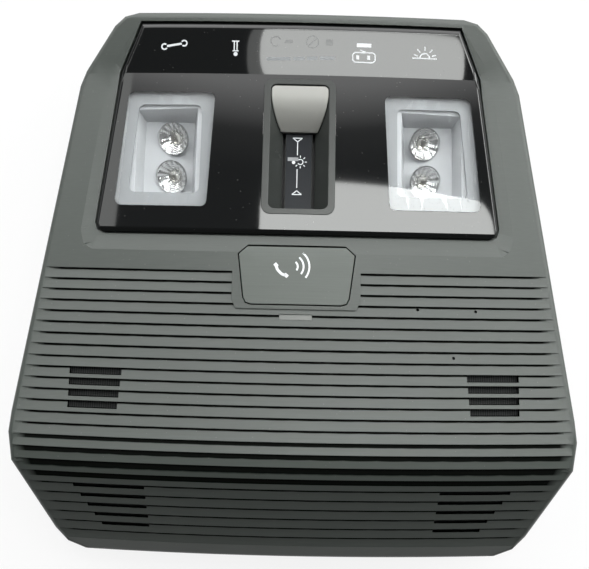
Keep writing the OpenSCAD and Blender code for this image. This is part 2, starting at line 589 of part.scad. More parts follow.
// acoustic mesh behind the upper slots, felt behind the lower slots
module mesh(s) color("#2b2e30") mirror([s, 0, 0]) intersection() {
  translate([slot_in - 2, rib_y(slot_rib + 4) - 1, 10])
    cube([slot_out - slot_in + 4, rib_y(slot_rib) - rib_y(slot_rib + 4) + 2, 60]);
  layer(bend_end + 2, panel_near - 12, -wall - 0.6, -wall);
}
module mesh_left() mesh(1);
module mesh_right() mesh(0);
module felt(s) color("#17181a") mirror([s, 0, 0]) intersection() {
  translate([vent_in - 2, rib_y(vent_rib + 5) - 0.4, 10])
    cube([hx * 0.2784, rib_y(vent_rib) - rib_y(vent_rib + 5) + 0.6, 60]);
  layer(-hy + 4, bend_end, -wall / cos(slope_tilt) - 1.5, -wall / cos(slope_tilt));
  plan(wall + 1.2, rim_z, 80);
}
module felt_left() felt(1);
module felt_right() felt(0);

// microphones on the board with rubber boots up to their holes
mic_at = [[hx * 0.4299, -hy * 0.0561], [hx * 0.6381, -hy * 0.0561], [hx * 0.5567, -hy * 0.2184]];
module mic_capsules() color("#c8a860") for (p = mic_at) on_face(p[0], p[1], -board_d - mic_drop(p))
  difference() {
    translate([-1.9, -1.9, 0]) cube([3.8, 3.8, 1.1]);
    translate([0, 0, 0.6]) cylinder(d = 0.8, h = 2, $fn = 24);
  }
function mic_drop(p) = 0;
module mic_boots() color("#1b1c1e") for (p = mic_at) difference() {
  intersection() {
    on_face(p[0], p[1], -board_d + 1.1) cylinder(r = 2.4, h = 20, $fn = 36);
    layer(bend_y + 4, panel_near + 1, -30, -wall - 0.1);
  }
  on_face(p[0], p[1], -board_d) cylinder(d = 1.4, h = 30, $fn = 24);
}

// main board, parallel to the face
board_hw = hx * 0.6804;
board_far = hy * 0.6327;
board_near = -hy * 0.449;
module main_board() color("#1d6b41") on_face(0, 0, -board_d - board_t) difference() {
  linear_extrude(board_t) polygon(both([[board_hw - 6, board_far], [board_hw, hy * 0.22], [board_hw, board_near]]));
  for (p = board_boss_at) translate([p[0], fy(p[1]), -1]) cylinder(d = 2.4, h = 4, $fn = 24);
  for (x = [-board_hw, board_hw]) translate([x, hy * 0.306, -1]) cylinder(r = 3, h = 4, $fn = 36);
}
module board_screws() color("#c9ccd0") for (p = board_boss_at) on_face(p[0], p[1], -board_d - board_t) {
  difference() {
    translate([0, 0, -1.6]) cylinder(d = 5, h = 1.6, $fn = 36);
    translate([0, 0, -2]) linear_extrude(1.3) star(1.1);
  }
  cylinder(d = 1.9, h = 8, $fn = 24);
}
module star(r) polygon([for (i = [0:11]) let (q = i % 2 == 0 ? r : r * 0.72) [q * cos(i * 30), q * sin(i * 30)]]);
module processor() color("#17181b") on_face(-hx * 0.1856, -hy * 0.3061, -board_d - board_t - 1.6)
  translate([-9, -9, 0]) cube([18, 18, 1.6]);
module capacitors() color("#3a3f49") for (p = [[22, -12], [34, -12], [22, 0]])
  on_face(p[0], p[1] - hy * 0.2245, -board_d - board_t - 7.5) {
    cylinder(d = 8, h = 7.5, $fn = 40);
  }
module power_coil() color("#34363a") on_face(36, -hy * 0.0816, -board_d - board_t - 5)
  corner_box(12, 12, 5, 2);

// header for the car's wiring: a shroud open at the back and its pins
conn_y = hy * 0.347;
module connector() color("#22262b") on_face(0, conn_y, -board_d - board_t) difference() {
  union() {
    translate([-17, -6.5, -12]) cube([34, 13, 12]);
    translate([-3, 6.4, -10]) cube([6, 1.6, 10]);
  }
  translate([-15.6, -5.1, -13]) cube([31.2, 10.2, 11]);
  translate([-18, -1, -7.2]) cube([36, 2, 1.2]);
}
module connector_pins() color("#c8a860") on_face(0, conn_y, -board_d - board_t)
  for (i = [0:9]) for (j = [-1, 1]) translate([-13.5 + 3 * i - 0.32, j * 2 - 0.32, -8.5]) cube([0.64, 0.64, 6.5]);

// touch board and light guide behind the icon strip
strip_hw = panel_fw - 10.2;
strip_y = panel_far - crease_y - 7.9;
strip_top = crown_z(strip_hw, crease_y + 8, panel_up - panel_t) - 0.3;
strip_low = rim_z + 2.4;
module strip_board() color("#234f7a") translate([-strip_hw, crease_y + 3.2, strip_low])
  cube([2 * strip_hw, strip_y, 1.2]);
module strip_guide() color("#d8dde2") difference() {
  translate([-strip_hw, crease_y + 3.2, strip_low + 1.2]) cube([2 * strip_hw, strip_y, strip_top - strip_low - 1.2]);
  for (i = [-2:2]) translate([i * strip_hw * 0.4 - strip_hw * 0.15, crease_y + 4.8, strip_low])
    cube([strip_hw * 0.3, strip_y - 3.2, strip_top - strip_low - 0.8]);
}

// back tub with its flange, bosses, vents, clip towers and the connector window
module tub_plan(d, z0, z1) translate([0, 0, z0]) linear_extrude(z1 - z0)
  polygon(inset(tub_outline, d));
tub_outline = both([[hx * 0.52, hy - tub_inset], [hx * 0.64, hy - tub_inset - 6], [hx * 0.9 - tub_inset, bend_y + 26],
  [hx - tub_inset - 8, bend_y - 4], [hx * 0.8 - tub_inset * 0.5, -hy + tub_inset + 6], [hx * 0.6, -hy + tub_inset]]);
clip_at = [for (sx = [1, -1]) for (p = [[hy * 0.47, 8.6], [-hy * 0.33, 8.4]]) [sx * (side_x(p[0]) - p[1]), p[0]]];
module rear_housing() color("#2c2f31") difference() {
  union() {
    plan(wall + 0.3, rim_z + 0.0, rim_z + 2.2);
    tub_plan(0, 0, rim_z + 1);
    posts(boss_at) translate([0, 0, rim_z]) cylinder(r = 3.4, h = 3.5, $fn = 40);
    for (p = clip_at) translate([p[0] - 2, p[1] - 5, 2]) cube([4, 10, rim_z - 1]);
  }
  difference() {
    tub_plan(tub_wall, tub_wall, rim_z + 4);
    for (x = [-hx * 0.4536, hx * 0.4536]) translate([x - 0.9, -hy, 0]) cube([1.8, length, tub_wall + 5]);
    for (y = [-hy * 0.592, -hy * 0.2245]) translate([-hx, y - 0.9, 0]) cube([width, 1.8, tub_wall + 5]);
  }
  posts(boss_at) translate([0, 0, rim_z - 1]) cylinder(d = screw_d + 0.4, h = 8, $fn = 32);
  translate([-hx * 0.41, hy * 0.09, -1]) cube([hx * 0.82, hy * 0.59, 5]);
  for (i = [0:7]) translate([-31.5 + 9 * i - 1.2, -hy + tub_inset + 10, -1]) cube([2.4, 14, 5]);
}
module housing_screws() color("#b8bbc0") posts(boss_at) difference() {
  union() {
    translate([0, 0, rim_z - 2.2]) cylinder(d = 6, h = 2.2, $fn = 40);
    translate([0, 0, rim_z - 0.5]) cylinder(d = screw_d - 0.5, h = 7, $fn = 32);
  }
  translate([0, 0, rim_z - 3]) linear_extrude(2.2) star(1.4);
}
module roof_clips() color("#9aa0a6") for (p = clip_at) translate([p[0], p[1], 0]) {
  for (s = [-1, 1]) {
    translate([s * 2.25 - 0.25, -4, 1.5]) cube([0.5, 8, rim_z - 5.5]);
    translate([s * 3.2 - 1, -4, 9.5]) cube([2, 8, 0.5]);
    translate([s * 4.1 - 0.25, -4, 6]) cube([0.5, 8, 3.8]);
  }
  translate([-2.3, -4, 1.5]) cube([4.6, 8, 0.49]);
}
module rim_seal() color("#3c3c3e") difference() {
  plan(wall + 0.5, rim_z - 1.5, rim_z - 0.02);
  plan(wall + 2.8, rim_z - 2.5, rim_z + 1);
}

bezel();
gloss_panel();
lens_left();
lens_right();
frost_left();
frost_right();
pocket_left();
pocket_right();
optic_1();
optic_2();
optic_3();
optic_4();
lamp_chips();
switch_bucket();
symbol_plate();
slider_knob();
slider_carriage();
slider_contact();
switch_board();
sos_button();
button_dome();
button_switch();
light_pipe();
pipe_chip();
mesh_left();
mesh_right();
felt_left();
felt_right();
mic_boots();
mic_capsules();
main_board();
board_screws();
processor();
capacitors();
power_coil();
connector();
connector_pins();
strip_board();
strip_guide();
rear_housing();
housing_screws();
roof_clips();
rim_seal();
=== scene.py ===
# %% [markdown]
# # Overhead console lamp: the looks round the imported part
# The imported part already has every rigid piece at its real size: a ribbed matt housing, a gloss
# panel with two lamp windows, a slide switch in a recess and a press button. This lesson gives each
# piece its finish, adds the fine pieces that are too small for the part's source, sets the light
# and puts the camera above the face. The pieces stay where the part has them, in metres.

# %% Load the part as a fixed frame
import math

import bmesh
import bpy
from mathutils import Matrix, Vector
from mathutils.bvhtree import BVHTree


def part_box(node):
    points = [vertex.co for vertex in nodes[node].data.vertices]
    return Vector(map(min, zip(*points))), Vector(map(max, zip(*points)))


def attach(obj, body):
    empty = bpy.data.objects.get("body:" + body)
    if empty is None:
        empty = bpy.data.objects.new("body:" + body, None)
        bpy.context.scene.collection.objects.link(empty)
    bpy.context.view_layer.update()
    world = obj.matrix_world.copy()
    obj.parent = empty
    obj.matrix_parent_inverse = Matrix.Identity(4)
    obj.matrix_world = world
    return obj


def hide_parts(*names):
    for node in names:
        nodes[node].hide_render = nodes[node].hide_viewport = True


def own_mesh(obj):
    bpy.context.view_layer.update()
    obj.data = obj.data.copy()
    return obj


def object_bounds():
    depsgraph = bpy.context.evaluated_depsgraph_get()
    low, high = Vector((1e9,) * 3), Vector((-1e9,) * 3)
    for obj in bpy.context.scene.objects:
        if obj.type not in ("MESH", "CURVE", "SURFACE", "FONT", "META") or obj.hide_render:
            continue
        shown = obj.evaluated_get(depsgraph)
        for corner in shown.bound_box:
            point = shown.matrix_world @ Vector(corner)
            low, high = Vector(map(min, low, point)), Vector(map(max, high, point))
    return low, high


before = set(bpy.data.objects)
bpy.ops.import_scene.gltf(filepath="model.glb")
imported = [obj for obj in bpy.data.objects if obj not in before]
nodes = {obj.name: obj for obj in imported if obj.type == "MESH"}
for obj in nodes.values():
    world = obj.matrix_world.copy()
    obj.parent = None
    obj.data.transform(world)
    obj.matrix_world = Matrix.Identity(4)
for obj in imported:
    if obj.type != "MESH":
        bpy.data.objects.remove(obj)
cad_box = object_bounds()
MM = 0.001
print("pieces in the part:", len(nodes))
print("size in mm:", [round((b - a) / MM, 1) for a, b in zip(*cad_box)])

# %% [markdown]
# ## Smooth normals on the moulded shells
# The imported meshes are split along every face, so a rolled edge would shine in flat strips. One
# could rebuild each shell by hand, but the shapes are right already. A small geometry group joins
# the split points and marks only the steep edges as sharp, and a weighted normal modifier lets the
# large faces rule. The points of the part stay as they are.

# %% Geometry group that smooths by edge angle
SHARP_ANGLE = math.radians(28)
JOIN_GAP = 0.004 * MM


def make_smoother():
    group = bpy.data.node_groups.new("smooth_by_edge", "GeometryNodeTree")
    group.interface.new_socket("Mesh", in_out="INPUT", socket_type="NodeSocketGeometry")
    limit = group.interface.new_socket("Angle", in_out="INPUT", socket_type="NodeSocketFloat")
    limit.default_value = SHARP_ANGLE
    group.interface.new_socket("Mesh", in_out="OUTPUT", socket_type="NodeSocketGeometry")
    make, link = group.nodes.new, group.links.new
    start, end = make("NodeGroupInput"), make("NodeGroupOutput")
    join = make("GeometryNodeMergeByDistance")
    join.inputs["Distance"].default_value = JOIN_GAP
    angle = make("GeometryNodeInputMeshEdgeAngle")
    steep = make("FunctionNodeCompare")
    steep.operation = "GREATER_THAN"
    shade = make("GeometryNodeSetMeshNormal")
    link(start.outputs["Mesh"], join.inputs["Geometry"])
    link(join.outputs["Geometry"], shade.inputs["Mesh"])
    link(angle.outputs["Unsigned Angle"], steep.inputs["A"])
    link(start.outputs["Angle"], steep.inputs["B"])
    link(steep.outputs["Result"], shade.inputs["Edge Sharpness"])
    link(shade.outputs["Mesh"], end.inputs["Mesh"])
    return group, limit.identifier


SMOOTHER, ANGLE_SOCKET = make_smoother()


def smooth(piece):
    stage = piece.modifiers.new("join_and_smooth", "NODES")
    stage.node_group = SMOOTHER
    stage[ANGLE_SOCKET] = SHARP_ANGLE
    weigh = piece.modifiers.new("weigh_normals", "WEIGHTED_NORMAL")
    weigh.keep_sharp = True


for part in nodes.values():
    smooth(part)
print("smoothed shells:", len(nodes))

# %% [markdown]
# ## Shared effects as node groups
# Moulded plastic is never one flat tone: it has a spark-eroded grain, a slow drift of tone from
# the melt, handling haze and a little dust. Each finish could carry its own copy of these, but
# they are the same idea on many pieces, so each is a node group with named inputs, and a finish
# sets its own amounts. They give only colours, values and normals; the shader stays in the finish.

# %% Helpers that make one node and link it
def feed(tree, value, socket):
    """Sets a plain number or vector on a socket, or links an output to it."""
    if isinstance(value, (int, float, tuple)):
        socket.default_value = value
    else:
        tree.links.new(value, socket)


def put(node, **values):
    """Sets plain values on sockets; an underscore in a keyword stands for a space."""
    for label, value in values.items():
        node.inputs[label.replace("_", " ")].default_value = value
    return node


def math_node(tree, operation, a, b=None, c=None, clamp=False):
    node = tree.nodes.new("ShaderNodeMath")
    node.operation, node.use_clamp = operation, clamp
    for socket, value in zip(node.inputs, (a, b, c)):
        if value is not None:
            feed(tree, value, socket)
    return node.outputs[0]


def vector_node(tree, operation, a, b=None, scale=None):
    node = tree.nodes.new("ShaderNodeVectorMath")
    node.operation = operation
    feed(tree, a, node.inputs[0])
    if b is not None:
        feed(tree, b, node.inputs[1])
    if scale is not None:
        feed(tree, scale, node.inputs["Scale"])
    return node.outputs["Value" if operation == "DOT_PRODUCT" else "Vector"]


def map_range(tree, value, **limits):
    node = put(tree.nodes.new("ShaderNodeMapRange"), **limits)
    tree.links.new(value, node.inputs["Value"])
    return node.outputs[0]


print("helpers for single nodes ready")

# %% Helpers for textures, mixes and groups
# A mix node keeps its own pair of inputs and its own output for each kind of data.
MIX_SOCKETS = {"RGBA": (6, 7, 2), "VECTOR": (4, 5, 1)}


def mix_node(tree, kind, factor, first, second):
    node = tree.nodes.new("ShaderNodeMix")
    node.data_type = kind
    a, b, result = MIX_SOCKETS[kind]
    for value, socket in ((factor, "Factor"), (first, a), (second, b)):
        tree.links.new(value, node.inputs[socket])
    return node.outputs[result]


def object_place(tree):
    return tree.nodes.new("ShaderNodeTexCoord").outputs["Object"]


def noise(tree, vector, scale, detail=2.0, rough=0.5):
    node = put(tree.nodes.new("ShaderNodeTexNoise"), Detail=detail, Roughness=rough)
    tree.links.new(vector, node.inputs["Vector"])
    feed(tree, scale, node.inputs["Scale"])
    return node.outputs["Fac"]


def cells(tree, vector, scale):
    node = tree.nodes.new("ShaderNodeTexVoronoi")
    tree.links.new(vector, node.inputs["Vector"])
    tree.links.new(scale, node.inputs["Scale"])
    return node


def shader_group(name, takes, gives):
    """An empty group with its sockets, and its input and output nodes."""
    group = bpy.data.node_groups.new(name, "ShaderNodeTree")
    kinds = {"value": "NodeSocketFloat", "colour": "NodeSocketColor", "vector": "NodeSocketVector"}
    for label, kind, preset in takes:
        socket = group.interface.new_socket(label, in_out="INPUT", socket_type=kinds[kind])
        if preset is not None:
            socket.default_value = preset
    for label, kind in gives:
        group.interface.new_socket(label, in_out="OUTPUT", socket_type=kinds[kind])
    return group, group.nodes.new("NodeGroupInput"), group.nodes.new("NodeGroupOutput")


def use_group(tree, group, **values):
    node = tree.nodes.new("ShaderNodeGroup")
    node.node_tree = group
    return put(node, **values)


print("helpers for textures and groups ready")

# %% Grain: the fine eroded texture of a mould
CELL_SHARE = 0.37


def make_grain():
    group, takes, gives = shader_group(
        "mould_grain",
        [("Scale", "value", 2600.0), ("Coarse", "value", 0.35)],
        [("Height", "value")],
    )
    place = object_place(group)
    fine = noise(group, place, takes.outputs["Scale"], detail=3.0, rough=0.6)
    cell_scale = math_node(group, "MULTIPLY", takes.outputs["Scale"], CELL_SHARE)
    distance = cells(group, place, cell_scale).outputs["Distance"]
    coarse = math_node(group, "MULTIPLY", distance, takes.outputs["Coarse"])
    group.links.new(math_node(group, "ADD", fine, coarse), gives.inputs["Height"])
    return group


GRAIN = make_grain()
print("group:", GRAIN.name)

# %% Tone: slow drift of colour, and a roughness that drifts with it
HAZE_SCALE = 2.3


def make_tone():
    group, takes, gives = shader_group(
        "tone_drift",
        [("Colour", "colour", (0.1, 0.1, 0.1, 1)), ("Drift", "value", 0.1),
         ("Scale", "value", 30.0), ("Roughness", "value", 0.5), ("Haze", "value", 0.1)],
        [("Colour", "colour"), ("Roughness", "value")],
    )
    place = object_place(group)
    slow = noise(group, place, takes.outputs["Scale"], detail=4.0, rough=0.55)
    centred = math_node(group, "SUBTRACT", slow, 0.5)
    gain = math_node(group, "MULTIPLY_ADD", centred, takes.outputs["Drift"], 1.0)
    tint = vector_node(group, "SCALE", takes.outputs["Colour"], scale=gain)
    group.links.new(tint, gives.inputs["Colour"])
    haze_scale = math_node(group, "MULTIPLY", takes.outputs["Scale"], HAZE_SCALE)
    patch = noise(group, place, haze_scale, detail=5.0, rough=0.62)
    centred = math_node(group, "SUBTRACT", patch, 0.5)
    lift = math_node(group, "MULTIPLY", centred, takes.outputs["Haze"])
    rough = math_node(group, "ADD", takes.outputs["Roughness"], lift, clamp=True)
    group.links.new(rough, gives.inputs["Roughness"])
    return group


TONE = make_tone()
print("group:", TONE.name)

# %% Dust: sparse pale specks on faces that look up
SPECK_RADIUS = 0.16
BARE_SHARE = 0.93


def make_dust():
    group, takes, gives = shader_group(
        "settled_dust",
        [("Colour", "colour", (0.1, 0.1, 0.1, 1)), ("Dust", "colour", (0.45, 0.44, 0.42, 1)),
         ("Amount", "value", 0.2), ("Scale", "value", 900.0)],
        [("Colour", "colour"), ("Mask", "value")],
    )
    spots = cells(group, object_place(group), takes.outputs["Scale"])
    dot = math_node(group, "LESS_THAN", spots.outputs["Distance"], SPECK_RADIUS)
    pick = group.nodes.new("ShaderNodeSeparateColor")
    group.links.new(spots.outputs["Color"], pick.inputs["Color"])
    chosen = math_node(group, "GREATER_THAN", pick.outputs[0], BARE_SHARE)
    up = group.nodes.new("ShaderNodeSeparateXYZ")
    group.links.new(group.nodes.new("ShaderNodeNewGeometry").outputs["Normal"], up.inputs[0])
    facing = math_node(group, "MULTIPLY", up.outputs["Z"], 1.0, clamp=True)
    mask = math_node(group, "MULTIPLY", math_node(group, "MULTIPLY", dot, chosen), facing)
    mask = math_node(group, "MULTIPLY", mask, takes.outputs["Amount"], clamp=True)
    dusty = mix_node(group, "RGBA", mask, takes.outputs["Colour"], takes.outputs["Dust"])
    group.links.new(dusty, gives.inputs["Colour"])
    group.links.new(mask, gives.inputs["Mask"])
    return group


DUST = make_dust()
print("group:", DUST.name)

# %% [markdown]
# ## The exact crowned face
# The real face is one crowned sheet: each cross-section is an arc about a line far below, and along
# the middle it runs level, then rises, then falls over the bend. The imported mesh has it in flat
# strips, which a mirror finish would show as kinks. A finer mesh would cost a great many faces. The
# arc and its slopes are known, so this group works out the true normal and how deep a point lies
# below the sheet, and gives the true normal only where the mesh already faces nearly that way.

# %% Section of the face: level, rise, bend and fall
CROWN_TOP_MM, CROWN_RADIUS_MM = 45, 600
AXIS_Z = (CROWN_TOP_MM - CROWN_RADIUS_MM) * MM
CREASE_Y, CREASE_Z = 75.9 * MM, 28.2 * MM
RISE, FALL = math.radians(12.5), math.radians(38)
BEND_Y, BEND_STEP, BEND_STEPS = -51 * MM, 3.5 * MM, 4


def face_lines():
    """The section as lines (y, z, slope); the lowest of them is the face."""
    lines = [(CREASE_Y, CREASE_Z, -math.tan(RISE))]
    y, z = BEND_Y, CREASE_Z + (CREASE_Y - BEND_Y) * math.tan(RISE)
    for k in range(BEND_STEPS):
        turn = RISE - (RISE + FALL) * (k + 0.5) / BEND_STEPS
        lines.append((y, z, -math.tan(turn)))
        y, z = y - BEND_STEP, z + BEND_STEP * math.tan(turn)
    return lines + [(y, z, math.tan(FALL))]


print("lines in the section:", len(face_lines()))

# %% Depth below the face, and its exact normal
def depth_below(group, y, reach):
    """Millimetres between a point and the face, measured towards the axis of the crown."""
    face = None
    for y0, z0, slope in face_lines():
        line = math_node(group, "MULTIPLY_ADD", y, slope, z0 - y0 * slope)
        face = line if face is None else math_node(group, "MINIMUM", face, line)
    face = math_node(group, "MAXIMUM", face, CREASE_Z)
    level = math_node(group, "ADD", reach, AXIS_Z)
    return math_node(group, "MULTIPLY", math_node(group, "SUBTRACT", face, level), 1 / MM)


def crown_normal(group, x, y, high, reach):
    """The arc's normal, tipped by the rise on the near side of the crease."""
    near = math_node(group, "LESS_THAN", y, CREASE_Y)
    upright = math_node(group, "MULTIPLY_ADD", near, math.cos(RISE) - 1, 1.0)
    normal = group.nodes.new("ShaderNodeCombineXYZ")
    lengths = (math_node(group, "MULTIPLY", math_node(group, "DIVIDE", x, reach), upright),
               math_node(group, "MULTIPLY", near, math.sin(RISE)),
               math_node(group, "MULTIPLY", math_node(group, "DIVIDE", high, reach), upright))
    for length, socket in zip(lengths, normal.inputs):
        group.links.new(length, socket)
    return normal.outputs[0]


print("face maths ready")

# %% Face guide: the group that gives both
FULL_ANGLE, NO_ANGLE = math.radians(2.5), math.radians(4.5)


def make_face_guide():
    group, takes, gives = shader_group(
        "face_guide", [("Normal", "vector", None)],
        [("Normal", "vector"), ("Depth mm", "value"), ("Across", "value"), ("Along", "value")],
    )
    split = group.nodes.new("ShaderNodeSeparateXYZ")
    group.links.new(object_place(group), split.inputs[0])
    x, y, z = split.outputs
    high = math_node(group, "SUBTRACT", z, AXIS_Z)
    squares = math_node(group, "MULTIPLY_ADD", high, high, math_node(group, "MULTIPLY", x, x))
    reach = math_node(group, "SQRT", squares)
    true = crown_normal(group, x, y, high, reach)
    flat = group.nodes.new("ShaderNodeNewGeometry").outputs["True Normal"]
    alike = vector_node(group, "DOT_PRODUCT", flat, true)
    mask = map_range(group, math_node(group, "ABSOLUTE", alike),
                     From_Min=math.cos(NO_ANGLE), From_Max=math.cos(FULL_ANGLE))
    # A clear plate is also seen from inside, where the exact normal has to point inwards.
    turned = vector_node(group, "SCALE", true, scale=math_node(group, "SIGN", alike))
    normal = mix_node(group, "VECTOR", mask, takes.outputs["Normal"], turned)
    group.links.new(vector_node(group, "NORMALIZE", normal), gives.inputs["Normal"])
    group.links.new(depth_below(group, y, reach), gives.inputs["Depth mm"])
    group.links.new(math_node(group, "ABSOLUTE", x), gives.inputs["Across"])
    group.links.new(y, gives.inputs["Along"])
    return group


FACE_GUIDE = make_face_guide()
print("group:", FACE_GUIDE.name)

# %% [markdown]
# ## Finishes
# Each part of such a lamp has its own tone and gloss. A picture could carry that, but it would be
# tied to one view. So every finish is one Principled shader whose plain numbers sit on its own
# sockets. Colour and roughness come through the tone and dust groups, and the normal through grain
# and a soft bevel, so that the moulded edges catch a thin line of light as real ones do.

# %% Normal of a moulded piece
BEVEL_SAMPLES = 4


def on_true_face(tree, normal=None):
    """Gives the exact normal on the crowned face and the given one elsewhere."""
    guide = use_group(tree, FACE_GUIDE)
    tree.links.new(normal or tree.nodes.new("ShaderNodeNewGeometry").outputs["Normal"],
                   guide.inputs["Normal"])
    return guide.outputs["Normal"]


def moulded_normal(tree, round_mm, true_face, grain, grain_scale, grain_mm):
    """Soft edges first, then the exact face, then the grain on top."""
    normal = None
    if round_mm:
        bevel = tree.nodes.new("ShaderNodeBevel")
        bevel.samples = BEVEL_SAMPLES
        normal = put(bevel, Radius=round_mm * MM).outputs["Normal"]
    if true_face:
        normal = on_true_face(tree, normal)
    if grain:
        texture = use_group(tree, GRAIN, Scale=grain_scale)
        bump = put(tree.nodes.new("ShaderNodeBump"), Strength=grain, Distance=grain_mm * MM)
        tree.links.new(texture.outputs["Height"], bump.inputs["Height"])
        if normal:
            tree.links.new(normal, bump.inputs["Normal"])
        normal = bump.outputs["Normal"]
    return normal


print("normals: bevel, exact face, grain")

# %% One builder for the opaque finishes
def new_material(name):
    material = bpy.data.materials.new(name)
    material.use_nodes = True
    return material, material.node_tree, material.node_tree.nodes["Principled BSDF"]


def finish(name, colour, rough, metallic=0.0, drift=0.12, haze=0.08, tone_scale=30.0, grain=0.0,
           grain_scale=2600.0, grain_mm=0.01, dust=0.0, round_mm=0.0, true_face=False, **sockets):
    """A moulded or metal finish; other keywords are plain numbers for the shader's sockets."""
    material, tree, shader = new_material(name)
    put(shader, Metallic=metallic, **sockets)
    tone = use_group(tree, TONE, Colour=(*colour, 1), Drift=drift, Scale=tone_scale,
                     Roughness=rough, Haze=haze)
    tree.links.new(tone.outputs["Roughness"], shader.inputs["Roughness"])
    last = tone.outputs["Colour"]
    if dust:
        specks = use_group(tree, DUST, Amount=dust)
        tree.links.new(last, specks.inputs["Colour"])
        last = specks.outputs["Colour"]
    tree.links.new(last, shader.inputs["Base Color"])
    normal = moulded_normal(tree, round_mm, true_face, grain, grain_scale, grain_mm)
    if normal:
        tree.links.new(normal, shader.inputs["Normal"])
    return material


def scale_colour(tree, gain):
    """Puts a gain between a finish's colour and its shader."""
    base = tree.nodes["Principled BSDF"].inputs["Base Color"]
    colour = base.links[0].from_socket
    tree.links.new(vector_node(tree, "SCALE", colour, scale=gain), base)


def wear(material, *names):
    for name in names:
        part = nodes[name]
        part.data.materials.clear()
        part.data.materials.append(material)
    print(material.name, "->", ", ".join(names))


# %% [markdown]
# ## Housing, button and gloss panel
# The housing and the button are matt moulded plastic with a fine grain, and the panel is polished
# piano black. On the housing, the foot of each rib step and the gap round the button lie in their
# own shade. Finer grooves in the part would need a great many more faces, so the depth from the
# face guide picks out the lowest places, and shade is painted there: darker colour, duller gloss.

# %% Painted-shade masks for the steps of the ribbed field and for the button's gap
STEP_DEPTH_MM = 0.66
STEP_SOFT_MM = (-0.03, 0.02)
DEPTH_CHANGES = ((-49.5 * MM, -0.06), (-66.5 * MM, 0.24))
# Each side of the field is a line: across = slope * along + base.
FIELD_SIDES = ((-0.147, 86.6 * MM), (0.362, 114.2 * MM))
FIELD_FADE = 3.5 * MM
FIELD_ENDS = (("Along", "LESS_THAN", 6.6 * MM), ("Along", "GREATER_THAN", -93.5 * MM))
GAP_MARGIN = 0.5 * MM
button_low, button_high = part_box("sos_button")
GAP_LIMITS = (("Across", "LESS_THAN", button_high.x + GAP_MARGIN),
              ("Along", "LESS_THAN", button_high.y + GAP_MARGIN),
              ("Along", "GREATER_THAN", button_low.y - GAP_MARGIN))


def keep_within(tree, guide, mask, limits):
    for label, operation, limit in limits:
        side = math_node(tree, operation, guide.outputs[label], limit)
        mask = math_node(tree, "MULTIPLY", mask, side)
    return mask


def step_shade_mask(tree, guide):
    """Painted-shade mask: 1 at the foot of each step; the step's depth changes at two places on the
    way.
    """
    along, foot = guide.outputs["Along"], STEP_DEPTH_MM
    for place, change in DEPTH_CHANGES:
        past = math_node(tree, "LESS_THAN", along, place)
        foot = math_node(tree, "MULTIPLY_ADD", past, change, foot)
    over = math_node(tree, "SUBTRACT", guide.outputs["Depth mm"], foot)
    deep = map_range(tree, over, From_Min=STEP_SOFT_MM[0], From_Max=STEP_SOFT_MM[1])
    sides = [math_node(tree, "MULTIPLY_ADD", along, slope, base) for slope, base in FIELD_SIDES]
    inside = math_node(tree, "MINIMUM", *sides)
    room = math_node(tree, "SUBTRACT", inside, guide.outputs["Across"])
    field = keep_within(tree, guide, map_range(tree, room, From_Max=FIELD_FADE), FIELD_ENDS)
    return math_node(tree, "MULTIPLY", deep, field)


def gap_shade_mask(tree, guide, depth_mm):
    # Painted shade in the gap round the button: 1 where the face lies deeper than depth_mm.
    below = math_node(tree, "GREATER_THAN", guide.outputs["Depth mm"], depth_mm)
    return keep_within(tree, guide, below, GAP_LIMITS)


print("button gap within mm:", round(GAP_LIMITS[0][2] / MM, 1))

# %% Painted shade: darker and duller where the masks are
GROOVE_PAINTED_SHADE = 0.9
USUAL_SPECULAR = 0.5
STREAK_SQUEEZE, STREAK_SCALE = (0.02, 1.0, 1.0), 1900.0
STREAK_GAIN, STREAK_BASE = 0.22, 0.89


def paint_groove_shade(material, gap_depth_mm):
    """Paints shade into the grooves and the gap as darker colour, and adds faint streaks that run
    as the ribs do.
    """
    tree = material.node_tree
    guide = use_group(tree, FACE_GUIDE)
    mask = math_node(tree, "MAXIMUM", step_shade_mask(tree, guide), gap_shade_mask(tree, guide, gap_depth_mm))
    squeezed = vector_node(tree, "MULTIPLY", object_place(tree), STREAK_SQUEEZE)
    streak = math_node(tree, "MULTIPLY_ADD", noise(tree, squeezed, STREAK_SCALE), STREAK_GAIN,
                       STREAK_BASE)
    # Painted shade: the colour is made darker where the masks are, then streaked along the ribs.
    left = math_node(tree, "MULTIPLY_ADD", mask, -GROOVE_PAINTED_SHADE, 1.0)
    scale_colour(tree, math_node(tree, "MULTIPLY", left, streak))
    gloss = math_node(tree, "MULTIPLY_ADD", mask, -USUAL_SPECULAR, USUAL_SPECULAR)
    tree.links.new(gloss, tree.nodes["Principled BSDF"].inputs["Specular IOR Level"])


matt_housing = finish("matt_housing", (0.0465, 0.054, 0.0485), 0.46, drift=0.10, grain=0.35,
                      grain_scale=2400.0, grain_mm=0.02, dust=0.08, round_mm=0.18)
matt_button = finish("matt_button", (0.067, 0.077, 0.069), 0.47, drift=0.08, grain=0.3,
                     grain_scale=2400.0, grain_mm=0.02, dust=0.06, round_mm=0.3)
paint_groove_shade(matt_housing, gap_depth_mm=0.9)
paint_groove_shade(matt_button, gap_depth_mm=0.25)
wear(matt_housing, "bezel")
wear(matt_button, "sos_button")

# %% Gloss panel
piano_black = finish("piano_black", (0.0045, 0.005, 0.0052), 0.035, drift=0.1, haze=0.02,
                     tone_scale=14.0, dust=0.12, round_mm=0.2, true_face=True)
wear(piano_black, "gloss_panel")

# %% [markdown]
# ## Clear windows and their frosted borders
# Each window is a clear plate over a milky border that hides the edge of the lamp pocket. Clear
# plastic is a Principled shader with full transmission. The border scatters light, so it is an
# opaque pale finish with a soft sheen rather than real translucency, which would only add noise.

# %% Clear plastic
SHADOW_PASS = 0.88


